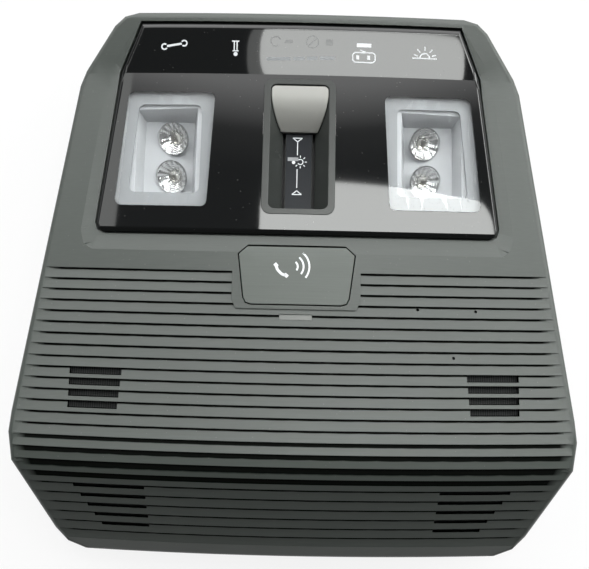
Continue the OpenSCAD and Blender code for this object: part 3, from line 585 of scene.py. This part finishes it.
def clear_plastic(name, tint, rough, ior=1.49, true_face=False):
    """Clear plastic that lets most of the light on to what lies behind it."""
    material, tree, shader = new_material(name)
    put(shader, Metallic=0.0, Transmission_Weight=1.0, IOR=ior)
    tone = use_group(tree, TONE, Colour=(*tint, 1), Drift=0.02, Scale=20.0, Roughness=rough,
                     Haze=0.03)
    tree.links.new(tone.outputs["Colour"], shader.inputs["Base Color"])
    tree.links.new(tone.outputs["Roughness"], shader.inputs["Roughness"])
    path = tree.nodes.new("ShaderNodeLightPath")
    passes = math_node(tree, "MULTIPLY_ADD", path.outputs["Is Shadow Ray"], -SHADOW_PASS, 1.0)
    tree.links.new(passes, shader.inputs["Alpha"])
    if true_face:
        tree.links.new(on_true_face(tree), shader.inputs["Normal"])
    return material


clear_window = clear_plastic("clear_window", (0.96, 0.97, 0.98), 0.02, ior=1.42, true_face=True)
frosted_border = finish("frosted_border", (0.25, 0.262, 0.27), 0.5, drift=0.08, haze=0.05,
                        tone_scale=18.0)
pocket_grey = finish("pocket_grey", (0.42, 0.43, 0.44), 0.45, drift=0.12, grain=0.2,
                     grain_scale=1800.0, round_mm=0.3)
wear(clear_window, "lens_left", "lens_right")
wear(frosted_border, "frost_left", "frost_right")
wear(pocket_grey, "pocket_left", "pocket_right")

# %% [markdown]
# ## Switch, light pipe and lamp chips
# The recess of the switch has a satin gloss, its plate is printed ink under a clear coat and its
# knob is painted silver. One grey for all would be quicker, but these gloss levels are what tells
# them apart in so small a space. The pipe under the button is milky, and lamp chips are white.

# %% Slide switch finishes
recess_gloss = finish("recess_gloss", (0.030, 0.033, 0.031), 0.26, drift=0.1, round_mm=0.35,
                      Specular_IOR_Level=0.3)
plate_ink = finish("plate_ink", (0.013, 0.015, 0.018), 0.22, drift=0.1, haze=0.05,
                   Specular_IOR_Level=0.08)
satin_silver = finish("satin_silver", (0.25, 0.25, 0.235), 0.5, metallic=0.3, drift=0.06,
                      haze=0.05, grain=0.12, grain_scale=3600.0, round_mm=0.45)
wear(recess_gloss, "switch_bucket")
wear(plate_ink, "symbol_plate")
wear(satin_silver, "slider_knob")

# %% Light pipe and lamp chips
milky_pipe = finish("milky_pipe", (0.105, 0.11, 0.103), 0.3, drift=0.05, round_mm=0.15)
chip_white = finish("chip_white", (0.72, 0.70, 0.66), 0.45, drift=0.1)
wear(milky_pipe, "light_pipe")
wear(chip_white, "lamp_chips", "pipe_chip")

# %% [markdown]
# ## Cloth, felt, rubber and foam
# Black cloth closes the upper slots and felt the lower ones, and rubber and foam sit inside. They
# could be modelled thread by thread, but only slivers of them show. So they are rough, dark
# finishes with a deep grain, and the cloth has its threads as a wave in the colour.

# %% Soft finishes
acoustic_cloth = finish("acoustic_cloth", (0.011, 0.012, 0.012), 0.9, drift=0.5, tone_scale=900.0,
                        grain=1.0, grain_scale=1500.0, grain_mm=0.15)
dark_felt = finish("dark_felt", (0.012, 0.013, 0.013), 0.95, drift=0.6, tone_scale=600.0,
                   grain=1.0, grain_scale=1100.0, grain_mm=0.2)
soft_rubber = finish("soft_rubber", (0.018, 0.019, 0.020), 0.62, drift=0.15, grain=0.2)
seal_foam = finish("seal_foam", (0.030, 0.030, 0.032), 0.92, drift=0.4, tone_scale=500.0,
                   grain=1.0, grain_scale=900.0, grain_mm=0.25)


def weave(material, scale, low, high):
    """Fine threads across the cloth, as a wave along X that scales its colour."""
    tree = material.node_tree
    threads = tree.nodes.new("ShaderNodeTexWave")
    threads.bands_direction = "X"
    put(threads, Scale=scale, Distortion=0.4, Detail=1.0)
    tree.links.new(object_place(tree), threads.inputs["Vector"])
    scale_colour(tree, math_node(tree, "MULTIPLY_ADD", threads.outputs["Fac"], high - low, low))


weave(acoustic_cloth, scale=400.0, low=0.3, high=2.2)
wear(acoustic_cloth, "mesh_left", "mesh_right")
wear(dark_felt, "felt_left", "felt_right")
wear(soft_rubber, "button_dome", "mic_boots")
wear(seal_foam, "rim_seal")

# %% [markdown]
# ## Boards, metals and moulded inner parts
# Below the face are boards, cans, pins, screws, clips and the back tub. Most of them never show
# from above. They could be left grey, but whoever opens the model should know each by its look.

# %% Inner finishes
wear(finish("board_green", (0.010, 0.075, 0.035), 0.34, drift=0.25, tone_scale=90.0,
            round_mm=0.15), "main_board")
wear(finish("board_blue", (0.012, 0.045, 0.10), 0.34, drift=0.25, tone_scale=90.0), "strip_board")
wear(finish("chip_black", (0.014, 0.014, 0.015), 0.52, drift=0.2, grain=0.4, round_mm=0.2),
     "switch_board", "processor")
wear(finish("can_metal", (0.55, 0.56, 0.58), 0.28, metallic=1.0, drift=0.08, round_mm=0.3),
     "capacitors", "button_switch", "mic_capsules")
wear(finish("gold_metal", (0.72, 0.50, 0.20), 0.25, metallic=1.0, drift=0.1),
     "connector_pins", "slider_contact")
wear(finish("zinc_steel", (0.50, 0.51, 0.52), 0.34, metallic=1.0, drift=0.14, round_mm=0.2),
     "board_screws", "housing_screws")
wear(finish("spring_steel", (0.42, 0.42, 0.43), 0.30, metallic=1.0, drift=0.2, tone_scale=120.0),
     "roof_clips")
wear(finish("ferrite", (0.040, 0.040, 0.043), 0.48, drift=0.2, round_mm=0.3), "power_coil")
wear(finish("nylon_black", (0.022, 0.024, 0.027), 0.5, drift=0.12, round_mm=0.25), "connector")
wear(finish("nylon_white", (0.62, 0.61, 0.57), 0.45, drift=0.06, round_mm=0.25),
     "slider_carriage")
wear(finish("back_plastic", (0.026, 0.028, 0.029), 0.55, drift=0.14, grain=0.4,
            grain_scale=1500.0, grain_mm=0.03, dust=0.15, round_mm=0.25), "rear_housing")
wear(finish("guide_milk", (0.60, 0.62, 0.63), 0.35, drift=0.05, round_mm=0.2), "strip_guide")

# %% [markdown]
# ## Finding the face
# Printed signs and small parts sit on curved faces. Their heights could be worked out from the
# section of the housing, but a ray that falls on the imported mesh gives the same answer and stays
# right if the part changes. Each carrier gets a search tree, and a point of a drawing is dropped
# along Z onto it.

# %% Drop points onto a carrier
ABOVE_ALL = 0.1
TREES = {}


def carrier(name):
    if name not in TREES:
        mesh = nodes[name].data
        TREES[name] = BVHTree.FromPolygons([v.co.copy() for v in mesh.vertices],
                                           [tuple(p.vertices) for p in mesh.polygons])
    return TREES[name]


def drop(name, x, y):
    hit = carrier(name).ray_cast(Vector((x, y, ABOVE_ALL)), Vector((0, 0, -1)))
    if hit[0] is None:
        raise ValueError(f"no face of {name} under {x:.4f}, {y:.4f}")
    return hit[0].z


print("panel height beside the switch, mm:", round(drop("gloss_panel", 0.02, 0.045) / MM, 2))

# %% [markdown]
# ## Printed signs
# The signs are pads of ink a few hundredths of a millimetre thick. Text objects or image textures
# are ruled out here, and the signs are simple, so each is drawn as strokes, rings, bars and discs
# in a flat drawing and then laid on its carrier.

# %% Flat drawing tools, all in millimetres
QUAD_LENGTH = 3.0


def stroke(points, width):
    """Strips of quads along a line of points."""
    made = []
    for (ax, ay), (bx, by) in zip(points[:-1], points[1:]):
        run, climb = bx - ax, by - ay
        length = math.hypot(run, climb)
        nx, ny = -climb / length * width / 2, run / length * width / 2
        parts = max(1, int(length / QUAD_LENGTH))
        for k in range(parts):
            s, e = k / parts, (k + 1) / parts
            px, py, qx, qy = ax + run * s, ay + climb * s, ax + run * e, ay + climb * e
            made.append([(px - nx, py - ny), (qx - nx, qy - ny),
                         (qx + nx, qy + ny), (px + nx, py + ny)])
    return made


def circle(cx, cy, r, a0=0.0, a1=360.0, steps=20):
    return [(cx + r * math.cos(math.radians(a0 + (a1 - a0) * i / steps)),
             cy + r * math.sin(math.radians(a0 + (a1 - a0) * i / steps))) for i in range(steps + 1)]


def disc(cx, cy, r):
    return [circle(cx, cy, r)[:-1]]


def ring(cx, cy, r, width, a0=0.0, a1=360.0, steps=20):
    outer = circle(cx, cy, r + width / 2, a0, a1, steps)
    inner = circle(cx, cy, r - width / 2, a0, a1, steps)
    return [[inner[i], outer[i], outer[i + 1], inner[i + 1]] for i in range(steps)]


def bar(x0, y0, x1, y1):
    return stroke([(x0, (y0 + y1) / 2), (x1, (y0 + y1) / 2)], y1 - y0)


def rays(cx, cy, r0, r1, angles, width):
    made = []
    for angle in angles:
        c, s = math.cos(math.radians(angle)), math.sin(math.radians(angle))
        made += stroke([(cx + r0 * c, cy + r0 * s), (cx + r1 * c, cy + r1 * s)], width)
    return made


print("quads in a full ring:", len(ring(0, 0, 1.0, 0.2)))

# %% Lay a drawing on its carrier
PAD_THICK_MM = 0.05


def make_object(name, mesh, material=None):
    """Turns a finished drawing mesh into an object of the scene."""
    data = bpy.data.meshes.new(name)
    mesh.to_mesh(data)
    mesh.free()
    if material:
        data.materials.append(material)
    piece = bpy.data.objects.new(name, data)
    bpy.context.scene.collection.objects.link(piece)
    return piece


def lay_sign(name, on, shapes, x, y, turn, material, body, lift_mm=0.03):
    """Lays flat shapes as thin pads on a carrier, turned about their own middle."""
    c, s = math.cos(math.radians(turn)), math.sin(math.radians(turn))
    mesh = bmesh.new()
    for shape in shapes:
        area = sum(p[0] * q[1] - q[0] * p[1] for p, q in zip(shape, shape[1:] + shape[:1]))
        top, low = [], []
        for u, v in shape if area > 0 else shape[::-1]:
            px, py = x + (u * c - v * s) * MM, y + (u * s + v * c) * MM
            z = drop(on, px, py)
            top.append(mesh.verts.new((px, py, z + lift_mm * MM)))
            low.append(mesh.verts.new((px, py, z + (lift_mm - PAD_THICK_MM) * MM)))
        mesh.faces.new(top)
        mesh.faces.new(low[::-1])
        for i in range(len(top)):
            j = (i + 1) % len(top)
            mesh.faces.new((low[i], low[j], top[j], top[i]))
    sign = make_object(name, mesh, material)
    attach(sign, body)
    print(name, "faces", len(sign.data.polygons))


white_ink = finish("white_ink", (0.62, 0.64, 0.66), 0.35, drift=0.05)
grey_ink = finish("grey_ink", (0.20, 0.21, 0.22), 0.3, drift=0.1)
faint_ink = finish("faint_ink", (0.035, 0.037, 0.038), 0.12, drift=0.2)

# %% Signs of the icon strip
wrench = (ring(-3.6, 0, 0.95, 0.55, 40, 320) + ring(3.6, 0, 0.95, 0.55, -140, 140)
          + stroke([(-2.7, 0), (2.7, 0)], 0.75))
figure = (stroke([(-1.3, 2.2), (1.3, 2.2)], 0.45) + stroke([(-0.45, 2.2), (-0.45, -1.2)], 0.4)
          + stroke([(0.55, 2.2), (0.55, -1.2)], 0.4) + stroke([(-1.0, -1.2), (1.1, -1.2)], 0.4)
          + disc(0.05, -2.3, 0.75))
sun_up = (ring(0, 0, 1.75, 0.4, 0, 180, 14) + stroke([(-4.4, 0), (4.4, 0)], 0.4)
          + rays(0, 0, 2.7, 4.2, (18, 50, 90, 130, 162), 0.38))
lamp_frame = [(-3.2, -1.7), (3.2, -1.7), (4.0, -1.0), (4.0, 1.0), (3.2, 1.7), (-3.2, 1.7),
              (-4.0, 1.0), (-4.0, -1.0), (-3.2, -1.7)]
lamp_box = (stroke(lamp_frame, 0.4) + bar(-2.7, -0.75, -1.7, 0.75) + bar(1.2, -0.75, 2.2, 0.75)
            + stroke([(-1.4, 2.6), (0.6, 1.9)], 0.38) + bar(-2.6, 3.6, 2.6, 5.0))
field_row = []
for start_x, end_x in ((-12.2, -3.6), (-2.8, 1.4), (2.2, 6.0), (6.8, 12.2)):
    field_row += bar(start_x, -0.55, end_x, 0.55)
faint_marks = (ring(-9.6, 0, 1.7, 0.5, 20, 300) + ring(3.4, 0, 2.1, 0.45)
               + stroke([(2.0, -1.4), (4.8, 1.4)], 0.45) + bar(8.2, -1.0, 10.6, 1.0)
               + bar(-6.4, -0.6, -3.6, 0.6))
STRIP_SIGNS = (
    ("sign_wrench", wrench, -45.2, 85.9, 10, white_ink),
    ("sign_call_guide", figure, -23.3, 85.2, 0, white_ink),
    ("sign_dimmer", sun_up, 44.2, 83.0, 0, white_ink),
    ("sign_cabin_lamp", lamp_box, 22.4, 82.6, 0, white_ink),
    ("sign_field_row", field_row, 0.0, 81.7, 2, grey_ink),
    ("sign_hidden_marks", faint_marks, 0.6, 87.6, 0, faint_ink),
)
for name, shapes, x_mm, y_mm, turn, ink in STRIP_SIGNS:
    lay_sign(name, "gloss_panel", shapes, x_mm * MM, y_mm * MM, turn, ink, "console")

# %% Signs of the switch plate
down_mark = (stroke([(-1.7, 0.65), (1.7, 0.65)], 0.32)
             + stroke([(-1.7, 0.65), (0, -0.7), (1.7, 0.65)], 0.32))
up_mark = [[(px, -py) for px, py in quad][::-1] for quad in down_mark]
sun_mark = (ring(1.5, 0, 0.95, 0.32, -150, 130, 16)
            + rays(1.5, 0, 1.55, 2.3, range(-135, 100, 45), 0.3) + disc(-0.9, -0.2, 0.6))
PLATE_SIGNS = (
    ("sign_arrow_far", down_mark, -0.5, 53.1, white_ink),
    ("sign_arrow_near", up_mark, -0.5, 34.0, white_ink),
    ("sign_line_far", stroke([(0, 2.5), (0, -2.5)], 0.3), -0.5, 50.0, white_ink),
    ("sign_line_near", stroke([(0, 3.4), (0, -3.4)], 0.3), -0.5, 39.1, white_ink),
    ("sign_shade", bar(-3.4, 0.3, 0.4, 1.6), -0.5, 45.1, grey_ink),
    ("sign_sun", sun_mark, -0.9, 45.1, white_ink),
)
for name, shapes, x_mm, y_mm, ink in PLATE_SIGNS:
    lay_sign(name, "symbol_plate", shapes, x_mm * MM, y_mm * MM, 0, ink, "console")

# %% Sign of the press button: a handset that calls
handset = (stroke([(-1.9, 1.4), (-1.3, -0.1), (0.1, -1.45), (1.6, -2.0)], 0.95)
           + stroke([(-2.35, 2.05), (-1.4, 1.05)], 1.2) + stroke([(1.1, -1.45), (2.2, -2.4)], 1.2))
waves = []
for wave_r in (2.0, 4.0, 6.0):
    waves += ring(0.6, 0.0, wave_r, 0.62, -38, 52, 10)
for name, shapes, x_mm, y_mm in (("sign_handset", handset, -5.2, 6.9),
                                 ("sign_waves", waves, -2.2, 8.0)):
    lay_sign(name, "sos_button", shapes, x_mm * MM, y_mm * MM, 0, white_ink, "button",
             lift_mm=0.02)

# %% [markdown]
# ## Lamp optics
# The bright eyes behind the windows are small cups that throw the light of one chip. Real ones are
# metallised plastic with rings of tiny flat facets, which sparkle. The part's plain cup could be
# kept, but its shine would be a smooth cone. So each is rebuilt as a cup with staggered rings of
# facets round a clear centre lens, within the place of the cup it stands for.

# %% Tools for round forms
def ring_of(mesh, at, radius, height, count, phase=0.0, jitter=0.0):
    """A ring of points; jitter lifts every second one and lowers the others."""
    made = []
    for i in range(count):
        a = 2 * math.pi * (i + phase) / count
        h = height + jitter * (1 if i % 2 else -1)
        made.append(mesh.verts.new(at @ Vector((radius * math.cos(a), radius * math.sin(a), h))))
    return made


def bridge(mesh, low, high):
    """Closes the band between two rings with triangles."""
    count = len(low)
    for i in range(count):
        j = (i + 1) % count
        mesh.faces.new((low[i], low[j], high[i]))
        mesh.faces.new((low[j], high[j], high[i]))


def round_object(name, mesh, material):
    bmesh.ops.recalc_face_normals(mesh, faces=mesh.faces)
    return make_object(name, mesh, material)


print("tools for round forms ready")

# %% Place and section of a cup
CUP_TILT = CUP_LEAN = math.radians(24)
CUP_SHIFT = Vector((-1.9, -1.3)) * MM
CUP_SINK = 0.75
LIP_MM, LIP_DROP_MM = 0.4, 0.5
BOWL_WIDE, BOWL_TAPER = 0.94, 0.58
BOWL_TOP_MM, BOWL_DEEP_MM, BOWL_CURVE = -0.25, 2.4, 1.3
RIM_ROWS, BOWL_ROWS = 3, 11
FACETS, FACET_JITTER = 30, 0.11 * MM


def cup_place(stands_for):
    """Where a cup sits and its rim radius, from the box of the optic it stands for."""
    low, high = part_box(stands_for)
    side = 1 if low.x > 0 else -1
    centre, rim_r = (low + high) / 2, (high.x - low.x) / 2
    middle = Vector((centre.x + side * CUP_SHIFT.x, centre.y + CUP_SHIFT.y,
                     high.z - rim_r * math.sin(CUP_LEAN) * CUP_SINK))
    tilt = (Matrix.Rotation(-RISE, 4, "X") @ Matrix.Rotation(side * CUP_LEAN, 4, "Y")
            @ Matrix.Rotation(CUP_TILT, 4, "X"))
    return Matrix.Translation(middle) @ tilt, rim_r


def cup_rows(rim_r):
    """Radius in metres and height in millimetres of each row: a lip, then the bowl inwards."""
    rows = [(rim_r, -LIP_DROP_MM), (rim_r, 0.0), (rim_r - LIP_MM * MM, 0.0)]
    for k in range(BOWL_ROWS):
        inward = (k + 1) / BOWL_ROWS
        rows.append((rim_r * (BOWL_WIDE - BOWL_TAPER * inward),
                     BOWL_TOP_MM - BOWL_DEEP_MM * inward ** BOWL_CURVE))
    return rows


print("rows in a cup:", RIM_ROWS + BOWL_ROWS)

# %% Build one faceted cup and its lens per optic
BACK_SHARE, BACK_MM = 0.66, -3.6
EYE_SHARE, EYE_SIDES = 0.36, 10
EYE_FOOT_MM, EYE_HIGH_MM, EYE_ANGLES = -2.4, 1.5, (0, 25, 50, 72)
bright_cup = finish("bright_cup", (0.78, 0.78, 0.77), 0.16, metallic=1.0, drift=0.1, haze=0.12,
                    tone_scale=300.0)
cup_lens = clear_plastic("cup_lens", (0.97, 0.96, 0.92), 0.05)


def faceted_cup(name, stands_for):
    at, rim_r = cup_place(stands_for)
    mesh = bmesh.new()
    rings = [ring_of(mesh, at, radius, height * MM, FACETS, 0.5 * (k % 2),
                     FACET_JITTER if k >= RIM_ROWS else 0.0)
             for k, (radius, height) in enumerate(cup_rows(rim_r))]
    for outer, inner in zip(rings[:-1], rings[1:]):
        bridge(mesh, outer, inner)
    mesh.faces.new(rings[-1])
    back = ring_of(mesh, at, rim_r * BACK_SHARE, BACK_MM * MM, FACETS)
    bridge(mesh, back, rings[0])
    mesh.faces.new(back[::-1])
    cup = round_object(name, mesh, bright_cup)
    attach(cup, "console")
    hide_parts(stands_for)
    return at, rim_r


def eye_lens(name, at, rim_r):
    """A small clear dome over the chip, in the middle of the bowl."""
    mesh = bmesh.new()
    rings = [ring_of(mesh, at, rim_r * EYE_SHARE * math.cos(math.radians(a)),
                     (EYE_FOOT_MM + EYE_HIGH_MM * math.sin(math.radians(a))) * MM,
                     EYE_SIDES, 0.5 * k)
             for k, a in enumerate(EYE_ANGLES)]
    for low, high in zip(rings[:-1], rings[1:]):
        bridge(mesh, low, high)
    mesh.faces.new(rings[-1])
    mesh.faces.new(rings[0][::-1])
    eye = round_object(name, mesh, cup_lens)
    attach(eye, "console")


for k in range(1, 5):
    cup_at, cup_r = faceted_cup(f"faceted_cup_{k}", f"optic_{k}")
    eye_lens(f"cup_eye_{k}", cup_at, cup_r)
    print(f"faceted_cup_{k}", "radius mm", round(cup_r / MM, 2))

# %% [markdown]
# ## Rubber dome under the button
# The button rests on a hollow rubber dome that folds when it is pressed. The part holds it as a
# rigid cone, which the button would run into. So it is turned here as one soft lathe form with a
# thin skirt and a foot.

# %% Read the place of the dome from the part
FOOT_BAND = 0.01 * MM


def axis_frame(name, up):
    """Foot centre, height and radius of a round piece along its axis, from the part's mesh."""
    spots = [v.co for v in nodes[name].data.vertices]
    foot = min(p.dot(up) for p in spots)
    base = [p for p in spots if p.dot(up) < foot + FOOT_BAND]
    centre = sum(base, Vector()) / len(base)
    low_x, high_x = min(p.x for p in base), max(p.x for p in base)
    centre.x = (low_x + high_x) / 2
    centre.y = (min(p.y for p in base) + max(p.y for p in base)) / 2
    return centre, max(p.dot(up) for p in spots) - foot, (high_x - low_x) / 2


button_way = Vector((0, math.sin(RISE), math.cos(RISE)))
dome_foot, dome_high, dome_r = axis_frame("button_dome", button_way)
print("rubber dome height mm:", round(dome_high / MM, 2))

# %% Turn the dome from its section, as shares of its radius and height
DOME_SIDES = 48
DOME_SECTION = ((0.76, 0.0), (1.0, 0.0), (1.0, 0.14), (0.88, 0.15), (0.84, 0.20), (0.64, 0.55),
                (0.47, 0.86), (0.43, 0.97), (0.40, 1.0), (0.16, 1.0), (0.12, 0.97), (0.10, 0.90),
                (0.30, 0.82), (0.42, 0.70), (0.58, 0.42), (0.74, 0.12))
dome_mesh = bmesh.new()
dome_at = Matrix.Translation(dome_foot) @ Matrix.Rotation(-RISE, 4, "X")
loops = [ring_of(dome_mesh, dome_at, r * dome_r, h * dome_high, DOME_SIDES)
         for r, h in DOME_SECTION]
for low_ring, high_ring in zip(loops, loops[1:] + loops[:1]):
    bridge(dome_mesh, low_ring, high_ring)
rubber_dome = round_object("rubber_dome", dome_mesh, soft_rubber)
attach(rubber_dome, "console")
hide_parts("button_dome")
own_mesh(rubber_dome)
print("rubber dome faces:", len(rubber_dome.data.polygons))

# %% [markdown]
# ## Table
# The lamp lies on its back on a white table that melts into a white background. An endless floor
# with a curved back wall would do that too, but the panel would mirror its wall. So the table is
# one level sheet that shows mostly plain white, with just enough shading left for a soft shadow.

# %% Plates and the table
CORNER_STEPS = 8


def flat_plate(name, half_x, half_y, z, corner=0.0):
    """A level sheet round the origin, with round corners where a radius is given."""
    mesh = bmesh.new()
    points = []
    for cx, cy, a in ((1, 1, 0), (-1, 1, 90), (-1, -1, 180), (1, -1, 270)):
        if corner:
            points += [(cx * (half_x - corner) + px, cy * (half_y - corner) + py)
                       for px, py in circle(0, 0, corner, a, a + 90, CORNER_STEPS)]
        else:
            points.append((cx * half_x, cy * half_y))
    mesh.faces.new([mesh.verts.new((px, py, z)) for px, py in points])
    return make_object(name, mesh)


def white_for_camera(tree, shader_output, target, share):
    """Mixes plain white into what the camera, mirrors and glass see, and keeps the shadow."""
    path = tree.nodes.new("ShaderNodeLightPath")
    seen = math_node(tree, "ADD", path.outputs["Is Camera Ray"], path.outputs["Is Glossy Ray"])
    seen = math_node(tree, "ADD", seen, path.outputs["Is Transmission Ray"], clamp=True)
    glow = put(tree.nodes.new("ShaderNodeEmission"), Strength=1.0)
    blend = tree.nodes.new("ShaderNodeMixShader")
    tree.links.new(math_node(tree, "MULTIPLY", seen, share), blend.inputs[0])
    tree.links.new(shader_output, blend.inputs[1])
    tree.links.new(glow.outputs[0], blend.inputs[2])
    tree.links.new(blend.outputs[0], target)


TABLE_HALF, TABLE_GAP, TABLE_WHITE_SHARE = 30.0, 0.05 * MM, 0.86
table_top = flat_plate("table_top", TABLE_HALF, TABLE_HALF, cad_box[0].z - TABLE_GAP)
table_white, white_tree, white_shader = new_material("table_white")
put(white_shader, Base_Color=(0.84, 0.84, 0.84, 1), Roughness=0.8)
white_for_camera(white_tree, white_shader.outputs[0],
                 white_tree.nodes["Material Output"].inputs["Surface"], TABLE_WHITE_SHARE)
table_top.data.materials.append(table_white)
print("table at z mm:", round(cad_box[0].z / MM, 2))

# %% [markdown]
# ## Lights
# The gloss panel mirrors a long strip of light on its far part, and a large soft light whose far
# edge runs across the panel and the windows. Lights could be moved about until that looks right.
# It is surer to mirror the edges seen on the panel back up to one height, so the lights are level
# plates given by those edges. One plate on the left and one on the right fill in the sides.

# %% Lit plates
LIGHT_H = 1.5
EDGE_H = LIGHT_H + 0.01
ROOM_TINT = (0.98, 1.0, 0.98)


def glowing(name, strength):
    material, tree, shader = new_material(name)
    tree.nodes.remove(shader)
    glow = put(tree.nodes.new("ShaderNodeEmission"), Color=(*ROOM_TINT, 1), Strength=strength)
    tree.links.new(glow.outputs[0], tree.nodes["Material Output"].inputs["Surface"])
    return material


def hang(plate, place, aim, strength):
    """Lights a plate and turns it at a point, and hides it from the camera."""
    plate.data.materials.append(glowing(plate.name + "_glow", strength))
    plate.location = place
    plate.rotation_mode = "QUATERNION"
    plate.rotation_quaternion = (Vector(aim) - Vector(place)).to_track_quat("-Z", "Y")
    plate.visible_camera = False
    plate.visible_shadow = False
    print(plate.name, "at", [round(v, 2) for v in plate.location])


def hang_level(name, x0, x1, y0, y1, height, corner, strength):
    """A level lit plate that faces down, given by its edges."""
    plate = flat_plate(name, (x1 - x0) / 2, (y1 - y0) / 2, 0.0, corner=corner)
    x, y = (x0 + x1) / 2, (y0 + y1) / 2
    hang(plate, (x, y, height), (x, y, 0.0), strength)


# The four edges x0, x1, y0 and y1 in metres, then height, corner radius and strength.
hang_level("strip_light", -0.145, 0.645, 0.345, 0.452, LIGHT_H, 0.045, 10.5)
hang_level("strip_light_edge", -0.195, 0.60, 0.335, 0.452, EDGE_H, 0.05, 2.0)
hang_level("soft_box", -0.14, 0.83, 0.56, 0.862, LIGHT_H, 0.07, 12.0)
hang_level("left_glow", -1.7, -0.74, 0.58, 1.40, LIGHT_H, 0.10, 2.9)
side_light = flat_plate("side_light", half_x=0.5, half_y=0.6, z=0.0)
hang(side_light, place=(1.9, 0.9, 1.0), aim=(0.0, 0.02, 0.04), strength=8.5)

# %% [markdown]
# ## World
# The room is dim overhead and pale towards the far side, which lights the near slope less than the
# long face and keeps the panel black between its mirrored lights. A picture of a room would do,
# but a ramp along Y is enough. The camera itself sees plain white.

# %% World: dim overhead, pale towards the far side
ROOM_STRENGTH = 4.3
ROOM_STOPS = ((0.0, 0.025), (0.50, 0.03), (0.535, 0.075), (0.575, 0.66), (0.68, 0.86))
world = bpy.data.worlds.new("room")
bpy.context.scene.world = world
world.use_nodes = True
room = world.node_tree
way = room.nodes.new("ShaderNodeSeparateXYZ")
room.links.new(room.nodes.new("ShaderNodeTexCoord").outputs["Generated"], way.inputs[0])
ramp = room.nodes.new("ShaderNodeValToRGB")
stops = ramp.color_ramp.elements
# A new ramp already has two stops, so only the later ones are added.
for k, (place, shade) in enumerate(ROOM_STOPS):
    stop = stops[k] if k < 2 else stops.new(place)
    stop.position, stop.color = place, (shade, shade, shade, 1)
room.links.new(way.outputs["Y"], ramp.inputs["Fac"])
back = put(room.nodes["Background"], Strength=ROOM_STRENGTH)
room.links.new(ramp.outputs["Color"], back.inputs["Color"])
pale = put(room.nodes.new("ShaderNodeBackground"), Color=(1, 1, 1, 1))
blend = room.nodes.new("ShaderNodeMixShader")
camera_ray = room.nodes.new("ShaderNodeLightPath").outputs["Is Camera Ray"]
for k, output in enumerate((camera_ray, back.outputs[0], pale.outputs[0])):
    room.links.new(output, blend.inputs[k])
room.links.new(blend.outputs[0], room.nodes["World Output"].inputs["Surface"])
bpy.context.scene.view_settings.view_transform = "Standard"
print("stops in the room's ramp:", len(stops))

# %% [markdown]
# ## Camera
# The photograph looks almost straight down from arm's length, so near parts look larger. A camera
# could be nudged by eye, but the place, turns and lens below come from a fit to the outline.

# %% Camera above the face
PHOTO_W, PHOTO_H = 589, 569
FOCAL_PX = 930.0
SENSOR = 36.0
eye_place = Vector((-1.62, 13.0, 362.0)) * MM
pitch, yaw, roll = (math.radians(v) for v in (-2.0, -0.186, 1.226))
camera_data = bpy.data.cameras.new("camera")
camera_data.sensor_width = SENSOR
camera_data.lens = FOCAL_PX / PHOTO_W * SENSOR
camera_data.clip_start, camera_data.clip_end = 0.01, 100.0
camera = bpy.data.objects.new("camera", camera_data)
bpy.context.scene.collection.objects.link(camera)
bpy.context.scene.camera = camera
look = Matrix.Rotation(pitch, 3, "X") @ Matrix.Rotation(yaw, 3, "Y") @ Matrix.Rotation(roll, 3, "Z")
camera.matrix_world = Matrix.Translation(eye_place) @ look.to_4x4()
print("lens mm:", round(camera_data.lens, 2), "frame", PHOTO_W, "x", PHOTO_H)
